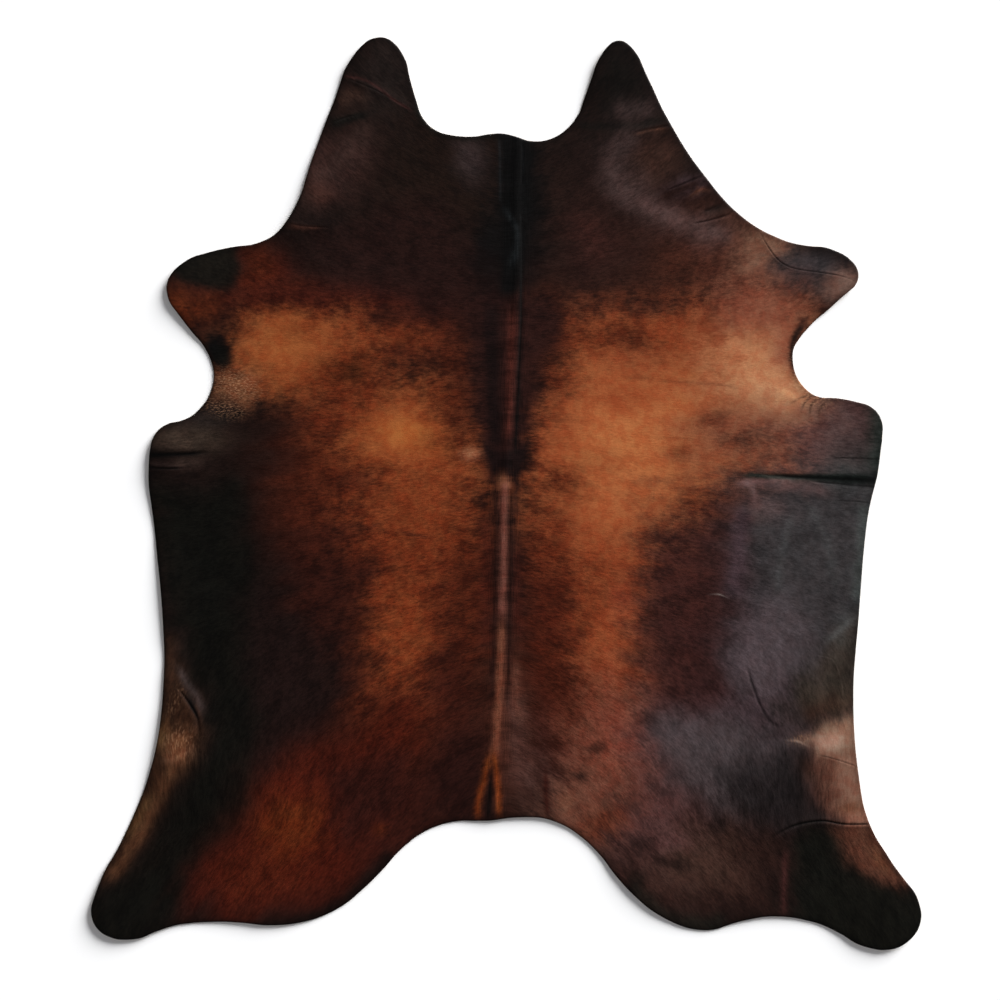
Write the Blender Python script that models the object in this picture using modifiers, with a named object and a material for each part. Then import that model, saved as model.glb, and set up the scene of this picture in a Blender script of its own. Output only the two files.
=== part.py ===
# A whole cowhide with its hair on, cut to shape as a floor rug and lying flat.
# Metres, +Z up. The neck points along +Y, and the flesh side lies on the plane z = 0.

import math

import bmesh
import bpy
from mathutils import Vector

COLLECTION = "cowhide"
SHEET_THICKNESS = 0.003  # the tanned skin with its short coat lying flat
CELL = 0.052  # pitch of the lines that the flat sheet is divided by
EDGE_STEPS = 3  # divisions of the outline between two landmarks
WELD = 0.0001
FOLD_END = 0.15  # share of its height that a fold keeps at its two ends
FOLD_RUN_OUT = 0.14  # share of a fold's length over which it rises to its full height

# The cut edge, anticlockwise from the left neck lobe: landmark, across, along.
EDGE = [
    ("left neck lobe, tip", -0.304, 1.098),
    ("left neck lobe, shoulder", -0.366, 1.057),
    ("left neck lobe, outer side", -0.414, 0.949),
    ("left cheek, upper", -0.468, 0.805),
    ("left cheek, lower", -0.516, 0.677),
    ("left shoulder bend", -0.574, 0.614),
    ("left fore shank, upper edge", -0.690, 0.588),
    ("left fore shank, upper corner", -0.788, 0.548),
    ("left fore shank, tip", -0.818, 0.491),
    ("left fore shank, lower edge", -0.774, 0.410),
    ("left armpit, upper", -0.718, 0.334),
    ("left armpit", -0.708, 0.261),
    ("left armpit, lower", -0.757, 0.188),
    ("left belly, corner", -0.838, 0.153),
    ("left belly, front", -0.860, 0.081),
    ("left belly, upper", -0.848, -0.088),
    ("left belly, middle", -0.829, -0.281),
    ("left belly, lower", -0.827, -0.474),
    ("left flank", -0.853, -0.651),
    ("left hock", -0.926, -0.836),
    ("left hind shank, outer side", -0.982, -0.945),
    ("left hind shank, tip", -0.994, -1.033),
    ("left hind shank, bottom", -0.927, -1.075),
    ("left hind shank, inner bottom", -0.798, -1.042),
    ("left thigh, hollow", -0.678, -1.033),
    ("left thigh, lower lobe", -0.533, -1.040),
    ("left thigh, inner corner", -0.416, -1.007),
    ("left buttock, lower", -0.323, -0.933),
    ("left buttock, upper", -0.225, -0.834),
    ("left of the rump", -0.142, -0.795),
    ("rump, left", -0.039, -0.789),
    ("rump, middle", 0.029, -0.781),
    ("rump, right", 0.111, -0.789),
    ("right buttock, upper", 0.201, -0.846),
    ("right buttock, lower", 0.288, -0.949),
    ("right thigh, inner corner", 0.381, -1.024),
    ("right thigh, lower lobe", 0.483, -1.054),
    ("right thigh, hollow start", 0.561, -1.033),
    ("right thigh, hollow", 0.649, -1.020),
    ("right hind shank, inner bottom", 0.762, -1.041),
    ("right hind shank, bottom", 0.893, -1.099),
    ("right hind shank, corner", 0.970, -1.077),
    ("right hind shank, tip", 0.999, -1.007),
    ("right hock", 0.934, -0.896),
    ("right flank, lower", 0.876, -0.797),
    ("right flank", 0.851, -0.690),
    ("right belly, lower", 0.837, -0.522),
    ("right belly, middle", 0.849, -0.305),
    ("right belly, upper", 0.871, -0.064),
    ("right belly, front", 0.903, 0.105),
    ("right belly, corner", 0.895, 0.193),
    ("right armpit, lower", 0.818, 0.226),
    ("right armpit, inner lower", 0.734, 0.242),
    ("right armpit", 0.691, 0.332),
    ("right armpit, upper", 0.719, 0.388),
    ("right fore shank, lower edge", 0.802, 0.466),
    ("right fore shank, tip", 0.848, 0.522),
    ("right fore shank, upper corner", 0.810, 0.576),
    ("right fore shank, upper edge", 0.685, 0.605),
    ("right shoulder bend", 0.578, 0.659),
    ("right cheek, lower", 0.484, 0.757),
    ("right cheek, upper", 0.390, 0.902),
    ("right neck lobe, outer side", 0.337, 1.011),
    ("right neck lobe, shoulder", 0.305, 1.070),
    ("right neck lobe, tip", 0.270, 1.090),
    ("right neck lobe, inner top", 0.234, 1.063),
    ("right neck lobe, inner side", 0.197, 0.976),
    ("right of the throat", 0.160, 0.893),
    ("throat, right hollow", 0.084, 0.849),
    ("throat, middle", -0.010, 0.867),
    ("throat, left hollow", -0.106, 0.860),
    ("left of the throat", -0.187, 0.888),
    ("left neck lobe, inner side", -0.225, 0.974),
    ("left neck lobe, inner top", -0.256, 1.068),
]

# Ridges and creases: name, kind, spacing of its lines, height, route (across, along).
# A ridge has one crest on its route. A crease is a trough on its route between two crests.
FOLDS = [
    ("backbone", "ridge", 0.014, 0.0045,
     [(0.027, 0.900), (0.024, 0.419), (-0.002, 0.033),
      (-0.007, -0.354), (-0.019, -0.595), (-0.041, -0.830)]),
    ("right belly fold", "crease", 0.011, 0.0065, [(0.600, 0.036), (0.730, 0.046), (0.930, 0.038)]),
    ("right belly second fold", "crease", 0.010, 0.0050, [(0.740, 0.022), (0.930, 0.014)]),
    ("left belly fold", "crease", 0.014, 0.0060, [(-0.900, 0.102), (-0.690, 0.098)]),
    ("left belly second fold", "crease", 0.012, 0.0045, [(-0.900, 0.064), (-0.770, 0.060)]),
    ("right hock crease", "crease", 0.010, 0.0065,
     [(0.640, -0.828), (0.709, -0.796), (0.763, -0.788), (0.818, -0.798), (0.920, -0.795)]),
    ("right flank crease", "crease", 0.010, 0.0040,
     [(0.565, -0.395), (0.606, -0.498), (0.640, -0.556), (0.690, -0.580)]),
    ("right neck crease", "crease", 0.012, 0.0045, [(0.260, 0.850), (0.430, 0.895)]),
    ("right cheek crease", "crease", 0.013, 0.0050, [(0.340, 0.708), (0.520, 0.782)]),
    ("right cheek second crease", "crease", 0.013, 0.0045, [(0.380, 0.630), (0.580, 0.688)]),
    ("right fore shank crease", "crease", 0.009, 0.0035,
     [(0.600, 0.655), (0.672, 0.562), (0.752, 0.534), (0.870, 0.500)]),
    ("left neck crease", "crease", 0.011, 0.0040, [(-0.460, 0.880), (-0.310, 0.915)]),
    ("left cheek crease", "crease", 0.011, 0.0040, [(-0.560, 0.655), (-0.410, 0.640)]),
    ("left flank crease", "crease", 0.011, 0.0045, [(-0.850, -0.400), (-0.735, -0.545), (-0.738, -0.610)]),
]

# Soft swells where the hide stands off the floor: name, across, along, reach, height.
SWELLS = [
    ("left neck lobe", -0.320, 1.120, 0.24, 0.009),
    ("left cheek", -0.520, 0.740, 0.20, 0.006),
    ("left fore shank", -0.850, 0.500, 0.22, 0.010),
    ("left belly front", -0.890, 0.080, 0.19, 0.007),
    ("left belly middle", -0.860, -0.260, 0.20, 0.007),
    ("left flank", -0.860, -0.590, 0.19, 0.008),
    ("left hind shank", -0.990, -1.070, 0.26, 0.010),
    ("left thigh", -0.600, -1.070, 0.20, 0.006),
    ("left buttock", -0.290, -0.930, 0.17, 0.005),
    ("rump", 0.040, -0.810, 0.19, 0.006),
    ("right buttock", 0.300, -0.980, 0.20, 0.006),
    ("right thigh", 0.620, -1.050, 0.16, 0.005),
    ("right hind shank", 0.980, -1.090, 0.26, 0.010),
    ("right stifle", 0.800, -0.610, 0.16, 0.009),
    ("right belly middle", 0.900, -0.230, 0.23, 0.007),
    ("right belly corner", 0.920, 0.190, 0.18, 0.008),
    ("right fore shank", 0.880, 0.540, 0.22, 0.010),
    ("right cheek", 0.520, 0.760, 0.20, 0.006),
    ("right neck lobe", 0.280, 1.120, 0.24, 0.009),
    ("throat", -0.030, 0.890, 0.17, 0.005),
    ("left shoulder", -0.450, 0.420, 0.24, 0.004),
    ("right shoulder", 0.470, 0.480, 0.24, 0.004),
    ("left ribs", -0.480, -0.120, 0.28, 0.004),
    ("right ribs", 0.540, -0.230, 0.28, 0.005),
    ("right loin", 0.180, -0.400, 0.16, 0.003),
    ("left loin", -0.280, -0.560, 0.22, 0.004),
    ("left haunch", -0.640, -0.740, 0.22, 0.005),
    ("right haunch", 0.460, -0.720, 0.20, 0.004),
]

COAT_COLOUR = (0.060, 0.022, 0.010, 1.0)
COAT_ROUGHNESS = 0.45


def remove_old_objects():
    for old in list(bpy.data.objects):
        bpy.data.objects.remove(old, do_unlink=True)


def coat_material():
    material = bpy.data.materials.new("hair_on_hide")
    material.use_nodes = True
    shader = material.node_tree.nodes["Principled BSDF"]
    shader.inputs["Base Color"].default_value = COAT_COLOUR
    shader.inputs["Roughness"].default_value = COAT_ROUGHNESS
    shader.inputs["Metallic"].default_value = 0.0
    material.diffuse_color = COAT_COLOUR
    return material


def outline_mesh(name, collection):
    """The cut edge as a smooth closed curve through its landmarks, made a ring of edges."""
    curve = bpy.data.curves.new(name, "CURVE")
    curve.dimensions = "2D"
    curve.fill_mode = "NONE"
    curve.resolution_u = EDGE_STEPS
    spline = curve.splines.new("BEZIER")
    spline.bezier_points.add(len(EDGE) - 1)
    spline.use_cyclic_u = True
    for point, (_, across, along) in zip(spline.bezier_points, EDGE):
        point.co = (across, along, 0.0)
        point.handle_left_type = "AUTO"
        point.handle_right_type = "AUTO"
    drawn = bpy.data.objects.new(name + "_outline", curve)
    collection.objects.link(drawn)
    evaluated = drawn.evaluated_get(bpy.context.evaluated_depsgraph_get())
    mesh = bpy.data.meshes.new_from_object(evaluated)
    bpy.data.objects.remove(drawn, do_unlink=True)
    return mesh


def centre_outline(sheet):
    """Moves the outline so that the middle of its box is the origin."""
    across = [v.co.x for v in sheet.verts]
    along = [v.co.y for v in sheet.verts]
    middle = Vector(((min(across) + max(across)) / 2, (min(along) + max(along)) / 2, 0.0))
    bmesh.ops.translate(sheet, vec=-middle, verts=sheet.verts)


def cut_along(sheet, faces, point, normal):
    """Divides the given faces by the upright plane through point."""
    edges = {edge for face in faces for edge in face.edges}
    verts = {vert for face in faces for vert in face.verts}
    bmesh.ops.bisect_plane(
        sheet, geom=[*verts, *edges, *faces], dist=WELD, plane_co=point, plane_no=normal
    )


def divide_into_cells(sheet):
    """Square cells over the whole sheet, trimmed by the outline."""
    for axis in range(2):
        normal = Vector((1, 0, 0)) if axis == 0 else Vector((0, 1, 0))
        reach = max(abs(v.co[axis]) for v in sheet.verts)
        lines = int(reach / CELL) + 1
        for line in range(-lines, lines):
            point = normal * (line + 0.5) * CELL
            cut_along(sheet, list(sheet.faces), point, normal)


def fold_lines(kind):
    """Which multiples of the fold's spacing carry a line of the sheet."""
    return (-1, 0, 1) if kind == "ridge" else (-2, -1, 0, 1, 2)


def cut_fold_lines(sheet):
    """Lines of the sheet along every fold's crests, troughs and feet."""
    for _, kind, spacing, _, route in FOLDS:
        for start, end in zip(route, route[1:]):
            start = Vector((*start, 0.0))
            end = Vector((*end, 0.0))
            way = (end - start).normalized()
            side = Vector((-way.y, way.x, 0.0))
            length = (end - start).length
            reach = spacing * 2 + CELL * 0.3
            for line in fold_lines(kind):
                near = []
                for face in sheet.faces:
                    offset = face.calc_center_median() - start
                    in_length = -spacing < offset.dot(way) < length + spacing
                    if in_length and abs(offset.dot(side)) < reach:
                        near.append(face)
                cut_along(sheet, near, start + side * spacing * line, side)


def nearest_on_route(place, route):
    """Distance from the route, and how far along it the nearest point is, from 0 to 1."""
    stretches = [(Vector(start), Vector(end)) for start, end in zip(route, route[1:])]
    whole = sum((end - start).length for start, end in stretches)
    best = (math.inf, 0.0)
    passed = 0.0
    for start, end in stretches:
        run = end - start
        share = min(1.0, max(0.0, (place - start).dot(run) / run.length_squared))
        distance = (place - start - run * share).length
        best = min(best, (distance, (passed + share * run.length) / whole))
        passed += run.length
    return best


def fold_height(place, kind, spacing, height, route):
    distance, along = nearest_on_route(place, route)
    steps = distance / spacing
    if kind == "ridge":
        profile = max(0.0, 1.0 - steps)
    else:
        profile = max(0.0, 1.0 - abs(steps - 1.0))
    from_end = min(along, 1.0 - along)
    fade = min(1.0, FOLD_END + (1.0 - FOLD_END) * from_end / FOLD_RUN_OUT)
    return height * profile * fade


def swell_height(place, across, along, reach, height):
    distance = (place - Vector((across, along))).length / reach
    return height * (1.0 - distance**2) ** 2 if distance < 1.0 else 0.0


def raise_folds(sheet):
    """Lifts the sheet off the floor at its swells and folds."""
    for vert in sheet.verts:
        place = Vector((vert.co.x, vert.co.y))
        swell = sum(swell_height(place, *row[1:]) for row in SWELLS)
        fold = max(fold_height(place, *row[1:]) for row in FOLDS)
        vert.co.z = swell + fold


def build_hide(collection):
    mesh = outline_mesh("hide", collection)
    sheet = bmesh.new()
    sheet.from_mesh(mesh)
    bmesh.ops.remove_doubles(sheet, verts=sheet.verts, dist=WELD)
    centre_outline(sheet)
    bmesh.ops.contextual_create(sheet, geom=sheet.edges)
    divide_into_cells(sheet)
    cut_fold_lines(sheet)
    bmesh.ops.remove_doubles(sheet, verts=sheet.verts, dist=WELD)
    raise_folds(sheet)
    for face in sheet.faces:
        if face.normal.z < 0.0:
            face.normal_flip()
        face.smooth = True
    sheet.to_mesh(mesh)
    sheet.free()
    mesh.update()
    mesh.materials.clear()
    mesh.materials.append(coat_material())
    hide = bpy.data.objects.new("hide", mesh)
    collection.objects.link(hide)
    solid = hide.modifiers.new("skin_thickness", "SOLIDIFY")
    solid.thickness = SHEET_THICKNESS
    solid.offset = 1.0
    return hide


def main():
    remove_old_objects()
    collection = bpy.data.collections.new(COLLECTION)
    bpy.context.scene.collection.children.link(collection)
    build_hide(collection)


main()
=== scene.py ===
import math

import bmesh
import bpy
import numpy as np
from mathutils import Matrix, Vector, geometry, kdtree
from mathutils.bvhtree import BVHTree


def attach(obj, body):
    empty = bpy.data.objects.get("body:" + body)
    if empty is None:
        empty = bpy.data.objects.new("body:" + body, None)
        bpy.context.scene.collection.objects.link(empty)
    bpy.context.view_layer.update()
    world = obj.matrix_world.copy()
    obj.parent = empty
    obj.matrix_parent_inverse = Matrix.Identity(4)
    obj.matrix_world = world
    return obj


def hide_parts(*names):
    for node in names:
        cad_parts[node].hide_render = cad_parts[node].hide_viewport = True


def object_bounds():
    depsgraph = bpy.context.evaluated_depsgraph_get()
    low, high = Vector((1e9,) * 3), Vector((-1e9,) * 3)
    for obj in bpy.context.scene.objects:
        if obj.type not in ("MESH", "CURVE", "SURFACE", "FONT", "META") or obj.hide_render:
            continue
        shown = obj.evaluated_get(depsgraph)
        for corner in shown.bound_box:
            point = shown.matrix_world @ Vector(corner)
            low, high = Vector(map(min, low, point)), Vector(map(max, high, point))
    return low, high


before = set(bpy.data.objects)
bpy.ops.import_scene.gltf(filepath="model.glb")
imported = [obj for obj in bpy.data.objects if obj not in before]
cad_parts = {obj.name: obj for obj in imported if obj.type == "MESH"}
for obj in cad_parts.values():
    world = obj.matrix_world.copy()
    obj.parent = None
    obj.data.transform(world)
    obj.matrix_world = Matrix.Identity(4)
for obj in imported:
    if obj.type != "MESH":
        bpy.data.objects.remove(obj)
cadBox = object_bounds()
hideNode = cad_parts["hide"]
bpy.ops.object.select_all(action="DESELECT")
scene = bpy.context.scene

# Camera, floor and light: straight above, with a soft low light from the upper right.
studio = {
    "viewWidth": 2.413,  # metres of floor across the picture
    "viewCentre": (-0.0145, -0.0157),
    "lens": 70.0,
    "halfSensor": 18.0,
    "farthest": 200.0,
    "floorHalf": 40.0,
    "floorGap": 0.0003,
    "floorTone": 0.9,
    "floorCloud": 3.0,  # turns to the metre of a faint unevenness
    "cloudShare": 0.01,
    "sunPower": 9.65,
    "sunAngle": 38.0,  # degrees across, which sets how soft the shadow is
    "sunHeight": 17.0,  # degrees over the horizon
    "sunFrom": 45.0,  # degrees from +X towards +Y
    "sunAway": 6.0,
    "floorSurface": {"Roughness": 0.9, "Specular IOR Level": 0.1},
    "overhead": 0.2,
    "horizon": 0.95,
    "paleUpTo": 0.17,  # heights, as shares of straight up
    "dimFrom": 0.42,
    "overheadBlue": 1.05,
}


class Wire:
    # One output socket of a shader. Expressions on it add Math nodes, and add() makes any other node.
    def __init__(self, tree, socket=None):
        self.tree = tree
        self.socket = socket

    def add(self, kind, settings=None, inputs=None, output=0):
        node = self.tree.nodes.new(kind)
        for name, value in (settings or {}).items():
            if name == "stops":
                while len(node.color_ramp.elements) < len(value):
                    node.color_ramp.elements.new(0.5)
                for element, (position, tone) in zip(node.color_ramp.elements, value):
                    element.position = position
                    element.color = tone
            else:
                setattr(node, name, value)
        for name, value in (inputs or {}).items():
            if isinstance(value, Wire):
                self.tree.links.new(value.socket, node.inputs[name])
            else:
                node.inputs[name].default_value = value
        return Wire(self.tree, node.outputs[output])

    def maths(self, operation, first, second):
        return self.add("ShaderNodeMath", {"operation": operation}, {0: first, 1: second})

    def __add__(self, other):
        return self.maths("ADD", self, other)

    def __radd__(self, other):
        return self.maths("ADD", other, self)

    def __sub__(self, other):
        return self.maths("SUBTRACT", self, other)

    def __rsub__(self, other):
        return self.maths("SUBTRACT", other, self)

    def __mul__(self, other):
        return self.maths("MULTIPLY", self, other)

    def __rmul__(self, other):
        return self.maths("MULTIPLY", other, self)

    def within(self, low, high):
        ranges = {"Value": self, "From Min": low, "From Max": high}
        return self.add("ShaderNodeMapRange", {"interpolation_type": "SMOOTHSTEP"}, ranges)

    def mix(self, factor, first, second, blend="MIX"):
        settings = {"data_type": "RGBA", "blend_type": blend}
        return self.add("ShaderNodeMix", settings, {0: factor, 6: first, 7: second}, output=2)


def emptyTree(owner):
    owner.use_nodes = True
    owner.node_tree.nodes.clear()
    return Wire(owner.node_tree)


def finishTree(kind, shader):
    end = shader.tree.nodes.new(kind)
    shader.tree.links.new(shader.socket, end.inputs["Surface"])


def finishMaterial(material, wire, inputs):
    finishTree("ShaderNodeOutputMaterial", wire.add("ShaderNodeBsdfPrincipled", inputs=inputs))
    return material


def noise(wire, place, scale, detail=2.0, roughness=0.5):
    settings = {"noise_dimensions": "3D"}
    inputs = {"Vector": place, "Scale": scale, "Detail": detail, "Roughness": roughness}
    return wire.add("ShaderNodeTexNoise", settings, inputs)


def grey(wire, level):
    return wire.add("ShaderNodeCombineColor", inputs={0: level, 1: level, 2: level})


def linear(hexTone):
    # a hex tone as linear light
    levels = [int(hexTone[i:i + 2], 16) / 255 for i in (0, 2, 4)]
    return [v / 12.92 if v <= 0.04045 else ((v + 0.055) / 1.055) ** 2.4 for v in levels]


def makeStudio():
    x, y = studio["viewCentre"]
    distance = studio["viewWidth"] / 2 / (studio["halfSensor"] / studio["lens"])
    bpy.ops.object.camera_add(location=(x, y, distance), rotation=(0, 0, 0))
    camera = bpy.context.object
    camera.data.lens = studio["lens"]
    camera.data.clip_end = studio["farthest"]
    scene.camera = camera

    bpy.ops.mesh.primitive_plane_add(size=2 * studio["floorHalf"], location=(0, 0, 0))
    floor = bpy.context.object
    floor.name = "floor"
    bpy.ops.object.mode_set(mode="EDIT")
    bpy.ops.transform.translate(value=(0, 0, -studio["floorGap"]))
    bpy.ops.object.mode_set(mode="OBJECT")
    material = bpy.data.materials.new("paleFloor")
    wire = emptyTree(material)
    place = wire.add("ShaderNodeTexCoord", output=3)
    share = studio["cloudShare"]
    level = noise(wire, place, studio["floorCloud"]) * share + (studio["floorTone"] - share / 2)
    look = {"Base Color": grey(wire, level), **studio["floorSurface"]}
    floor.data.materials.append(finishMaterial(material, wire, look))

    climb = math.radians(studio["sunHeight"])
    turn = math.radians(studio["sunFrom"])
    away = Vector((math.cos(turn) * math.cos(climb), math.sin(turn) * math.cos(climb), math.sin(climb)))
    bpy.ops.object.light_add(type="SUN", location=away * studio["sunAway"])
    sun = bpy.context.object
    sun.name = "keyLight"
    sun.rotation_euler = away.to_track_quat("Z", "Y").to_euler()
    sun.data.energy = studio["sunPower"]
    sun.data.angle = math.radians(studio["sunAngle"])

    # the room is dim overhead and pale towards the horizon
    scene.world = bpy.data.worlds.new("room")
    wire = emptyTree(scene.world)
    direction = wire.add("ShaderNodeTexCoord", output=0)
    height = wire.add("ShaderNodeSeparateXYZ", inputs={0: direction}, output=2)
    pale = (studio["horizon"],) * 3 + (1,)
    dim = (studio["overhead"], studio["overhead"], studio["overhead"] * studio["overheadBlue"], 1)
    stops = [(0.0, pale), (studio["paleUpTo"], pale), (studio["dimFrom"], dim)]
    tone = wire.add("ShaderNodeValToRGB", {"stops": stops}, {0: height})
    background = wire.add("ShaderNodeBackground", inputs={"Color": tone, "Strength": 1.0})
    finishTree("ShaderNodeOutputWorld", background)
    scene.view_settings.view_transform = "Standard"


makeStudio()
print("studio: camera, floor and light")

# The hide's form, read from the CAD solid: its outline, and how high its underside lies.
form = {
    "edgeStep": 0.005,  # between points along the outline
    "straight": 0.15,  # degrees: a corner of the outline that turns less is dropped
    "weld": 0.00001,
    "wallHeight": 0.0018,  # the solid's upright edges are longer than this
    "wallLean": 0.0026,  # and lean out by less than this
    "curveSteps": 24,  # between two points of a curve, before it is walked evenly
    "block": 4000,  # points looked at together
    "heightStep": 0.006,
    "heightBlur": 0.013,
    "margin": 0.06,
    "faint": 1e-6,
}


def cadOutline():
    # the lower ring of the solid's upright edges, in order
    mesh = bmesh.new()
    mesh.from_mesh(hideNode.data)
    bmesh.ops.remove_doubles(mesh, verts=mesh.verts, dist=form["weld"])
    low, high = set(), set()
    for edge in mesh.edges:
        first, second = sorted(edge.verts, key=lambda v: v.co.z)
        run = second.co - first.co
        if run.z > form["wallHeight"] and run.xy.length < form["wallLean"]:
            low.add(first)
            high.add(second)
    beside = {}
    for edge in mesh.edges:
        first, second = edge.verts
        onWall = any(v in high for face in edge.link_faces for v in face.verts)
        if first in low and second in low and onWall:
            beside.setdefault(first, []).append(second)
            beside.setdefault(second, []).append(first)
    ring = [max(beside, key=lambda v: v.co.y)]
    used = set(ring)
    while ahead := [v for v in beside[ring[-1]] if v not in used]:
        ring.append(ahead[0])
        used.add(ahead[0])
    points = np.array([v.co.xy[:] for v in ring])
    mesh.free()
    return points


def corners(points):
    before = points - np.roll(points, 1, axis=0)
    after = np.roll(points, -1, axis=0) - points
    cross = before[:, 0] * after[:, 1] - before[:, 1] * after[:, 0]
    turn = np.arctan2(cross, (before * after).sum(axis=1))
    return points[np.abs(turn) > math.radians(form["straight"])]


def walked(line):
    # metres from the start of a line to each of its points
    return np.concatenate([[0], np.cumsum(np.linalg.norm(np.diff(line, axis=0), axis=1))])


def smoothLine(points, step, closed=False):
    # a Catmull-Rom curve through the points, walked in even steps
    points = np.asarray(points, float)
    if closed:
        padded = np.vstack([points[-1], points, points[:2]])
    else:
        padded = np.vstack([2 * points[0] - points[1], points, 2 * points[-1] - points[-2]])
    t = np.linspace(0, 1, form["curveSteps"], endpoint=False)[:, None]
    pieces = []
    for a, b, c, d in zip(padded[:-3], padded[1:-2], padded[2:-1], padded[3:]):
        square = 2 * a - 5 * b + 4 * c - d
        cube = 3 * b - a - 3 * c + d
        pieces.append(0.5 * (2 * b + (c - a) * t + square * t ** 2 + cube * t ** 3))
    fine = np.vstack(pieces + [padded[1:2] if closed else padded[-2:-1]])
    along = walked(fine)
    count = max(2, round(along[-1] / step))
    stops = np.linspace(0, along[-1], count + 1)
    if closed:
        stops = stops[:-1]
    return np.column_stack([np.interp(stops, along, fine[:, 0]), np.interp(stops, along, fine[:, 1])])


def insideRing(points, ring):
    # even and odd crossings, a block of points at a time
    x1, y1 = ring.T
    x2, y2 = np.roll(x1, -1), np.roll(y1, -1)
    answer = np.zeros(len(points), bool)
    for start in range(0, len(points), form["block"]):
        these = slice(start, start + form["block"])
        px, py = points[these].T[:, :, None]
        crosses = (y1 > py) != (y2 > py)
        with np.errstate(divide="ignore", invalid="ignore"):
            at = x1 + (py - y1) * (x2 - x1) / (y2 - y1)
        answer[these] = np.sum(crosses & (px < at), axis=1) % 2 == 1
    return answer


def nearLine(points, line, reach):
    # which points lie in the box around a line
    low, high = line.min(axis=0) - reach, line.max(axis=0) + reach
    return np.where(((points > low) & (points < high)).all(axis=1))[0]


def distanceTo(points, line, closed):
    # distance to a finely stepped line, the side a point is on, and how far along its nearest place is
    tree = kdtree.KDTree(len(line))
    for i, (x, y) in enumerate(line):
        tree.insert((x, y, 0), i)
    tree.balance()
    nearest = np.array([tree.find((x, y, 0))[1] for x, y in points], int)
    reached = walked(line)
    best = np.full(len(points), np.inf)
    side = np.zeros(len(points))
    along = np.zeros(len(points))
    for back in (1, 0):
        first = nearest - back
        first = first % len(line) if closed else np.clip(first, 0, len(line) - 2)
        start, end = line[first], line[(first + 1) % len(line)]
        run = end - start
        size = (run ** 2).sum(axis=1)
        t = np.clip(((points - start) * run).sum(axis=1) / size, 0, 1)
        gap = points - start - t[:, None] * run
        distance = np.sqrt((gap ** 2).sum(axis=1))
        closer = distance < best
        best[closer] = distance[closer]
        side[closer] = np.sign(run[:, 0] * gap[:, 1] - run[:, 1] * gap[:, 0])[closer]
        along[closer] = (reached[first] + t * np.sqrt(size))[closer]
    return best, side, along


def blurGrid(grid, cells):
    reach = int(3 * cells) + 1
    weights = np.exp(-0.5 * (np.arange(-reach, reach + 1) / cells) ** 2)
    weights /= weights.sum()
    for axis in (0, 1):
        grid = np.apply_along_axis(lambda row: np.convolve(row, weights, mode="same"), axis, grid)
    return grid


def cadHeights():
    # how high the underside lies on a grid, smoothed from facets into one soft surface
    tree = BVHTree.FromObject(hideNode, bpy.context.evaluated_depsgraph_get())
    step = form["heightStep"]
    xs = np.arange(cadBox[0].x - form["margin"], cadBox[1].x + form["margin"], step)
    ys = np.arange(cadBox[0].y - form["margin"], cadBox[1].y + form["margin"], step)
    grid = np.zeros((len(ys), len(xs)))
    found = np.zeros_like(grid)
    up = Vector((0, 0, 1))
    for row, y in enumerate(ys):
        for column, x in enumerate(xs):
            hit = tree.ray_cast(Vector((x, y, -1)), up)
            if hit[0] is not None:
                grid[row, column] = hit[0].z
                found[row, column] = 1
    cells = form["heightBlur"] / step
    weight = blurGrid(found, cells)
    soft = blurGrid(grid * found, cells) / np.maximum(weight, form["faint"])
    return {"x": xs[0], "y": ys[0], "step": step, "soft": np.where(weight > form["faint"], soft, 0)}


def heightAt(points):
    # how high the underside lies, in metres
    column = (points[:, 0] - heights["x"]) / heights["step"]
    row = (points[:, 1] - heights["y"]) / heights["step"]
    grid = heights["soft"]
    c = np.clip(column.astype(int), 0, grid.shape[1] - 2)
    r = np.clip(row.astype(int), 0, grid.shape[0] - 2)
    u, v = column - c, row - r
    top = grid[r + 1, c] * (1 - u) + grid[r + 1, c + 1] * u
    bottom = grid[r, c] * (1 - u) + grid[r, c + 1] * u
    return np.maximum(bottom * (1 - v) + top * v, 0)


def toOutline(points):
    return distanceTo(points, outline, closed=True)[0]


outline = smoothLine(corners(cadOutline()), form["edgeStep"], closed=True)
heights = cadHeights()
highest = round(float(heights["soft"].max()), 4)
print("form: outline of", len(outline), "points, underside up to", highest, "m high")

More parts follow.
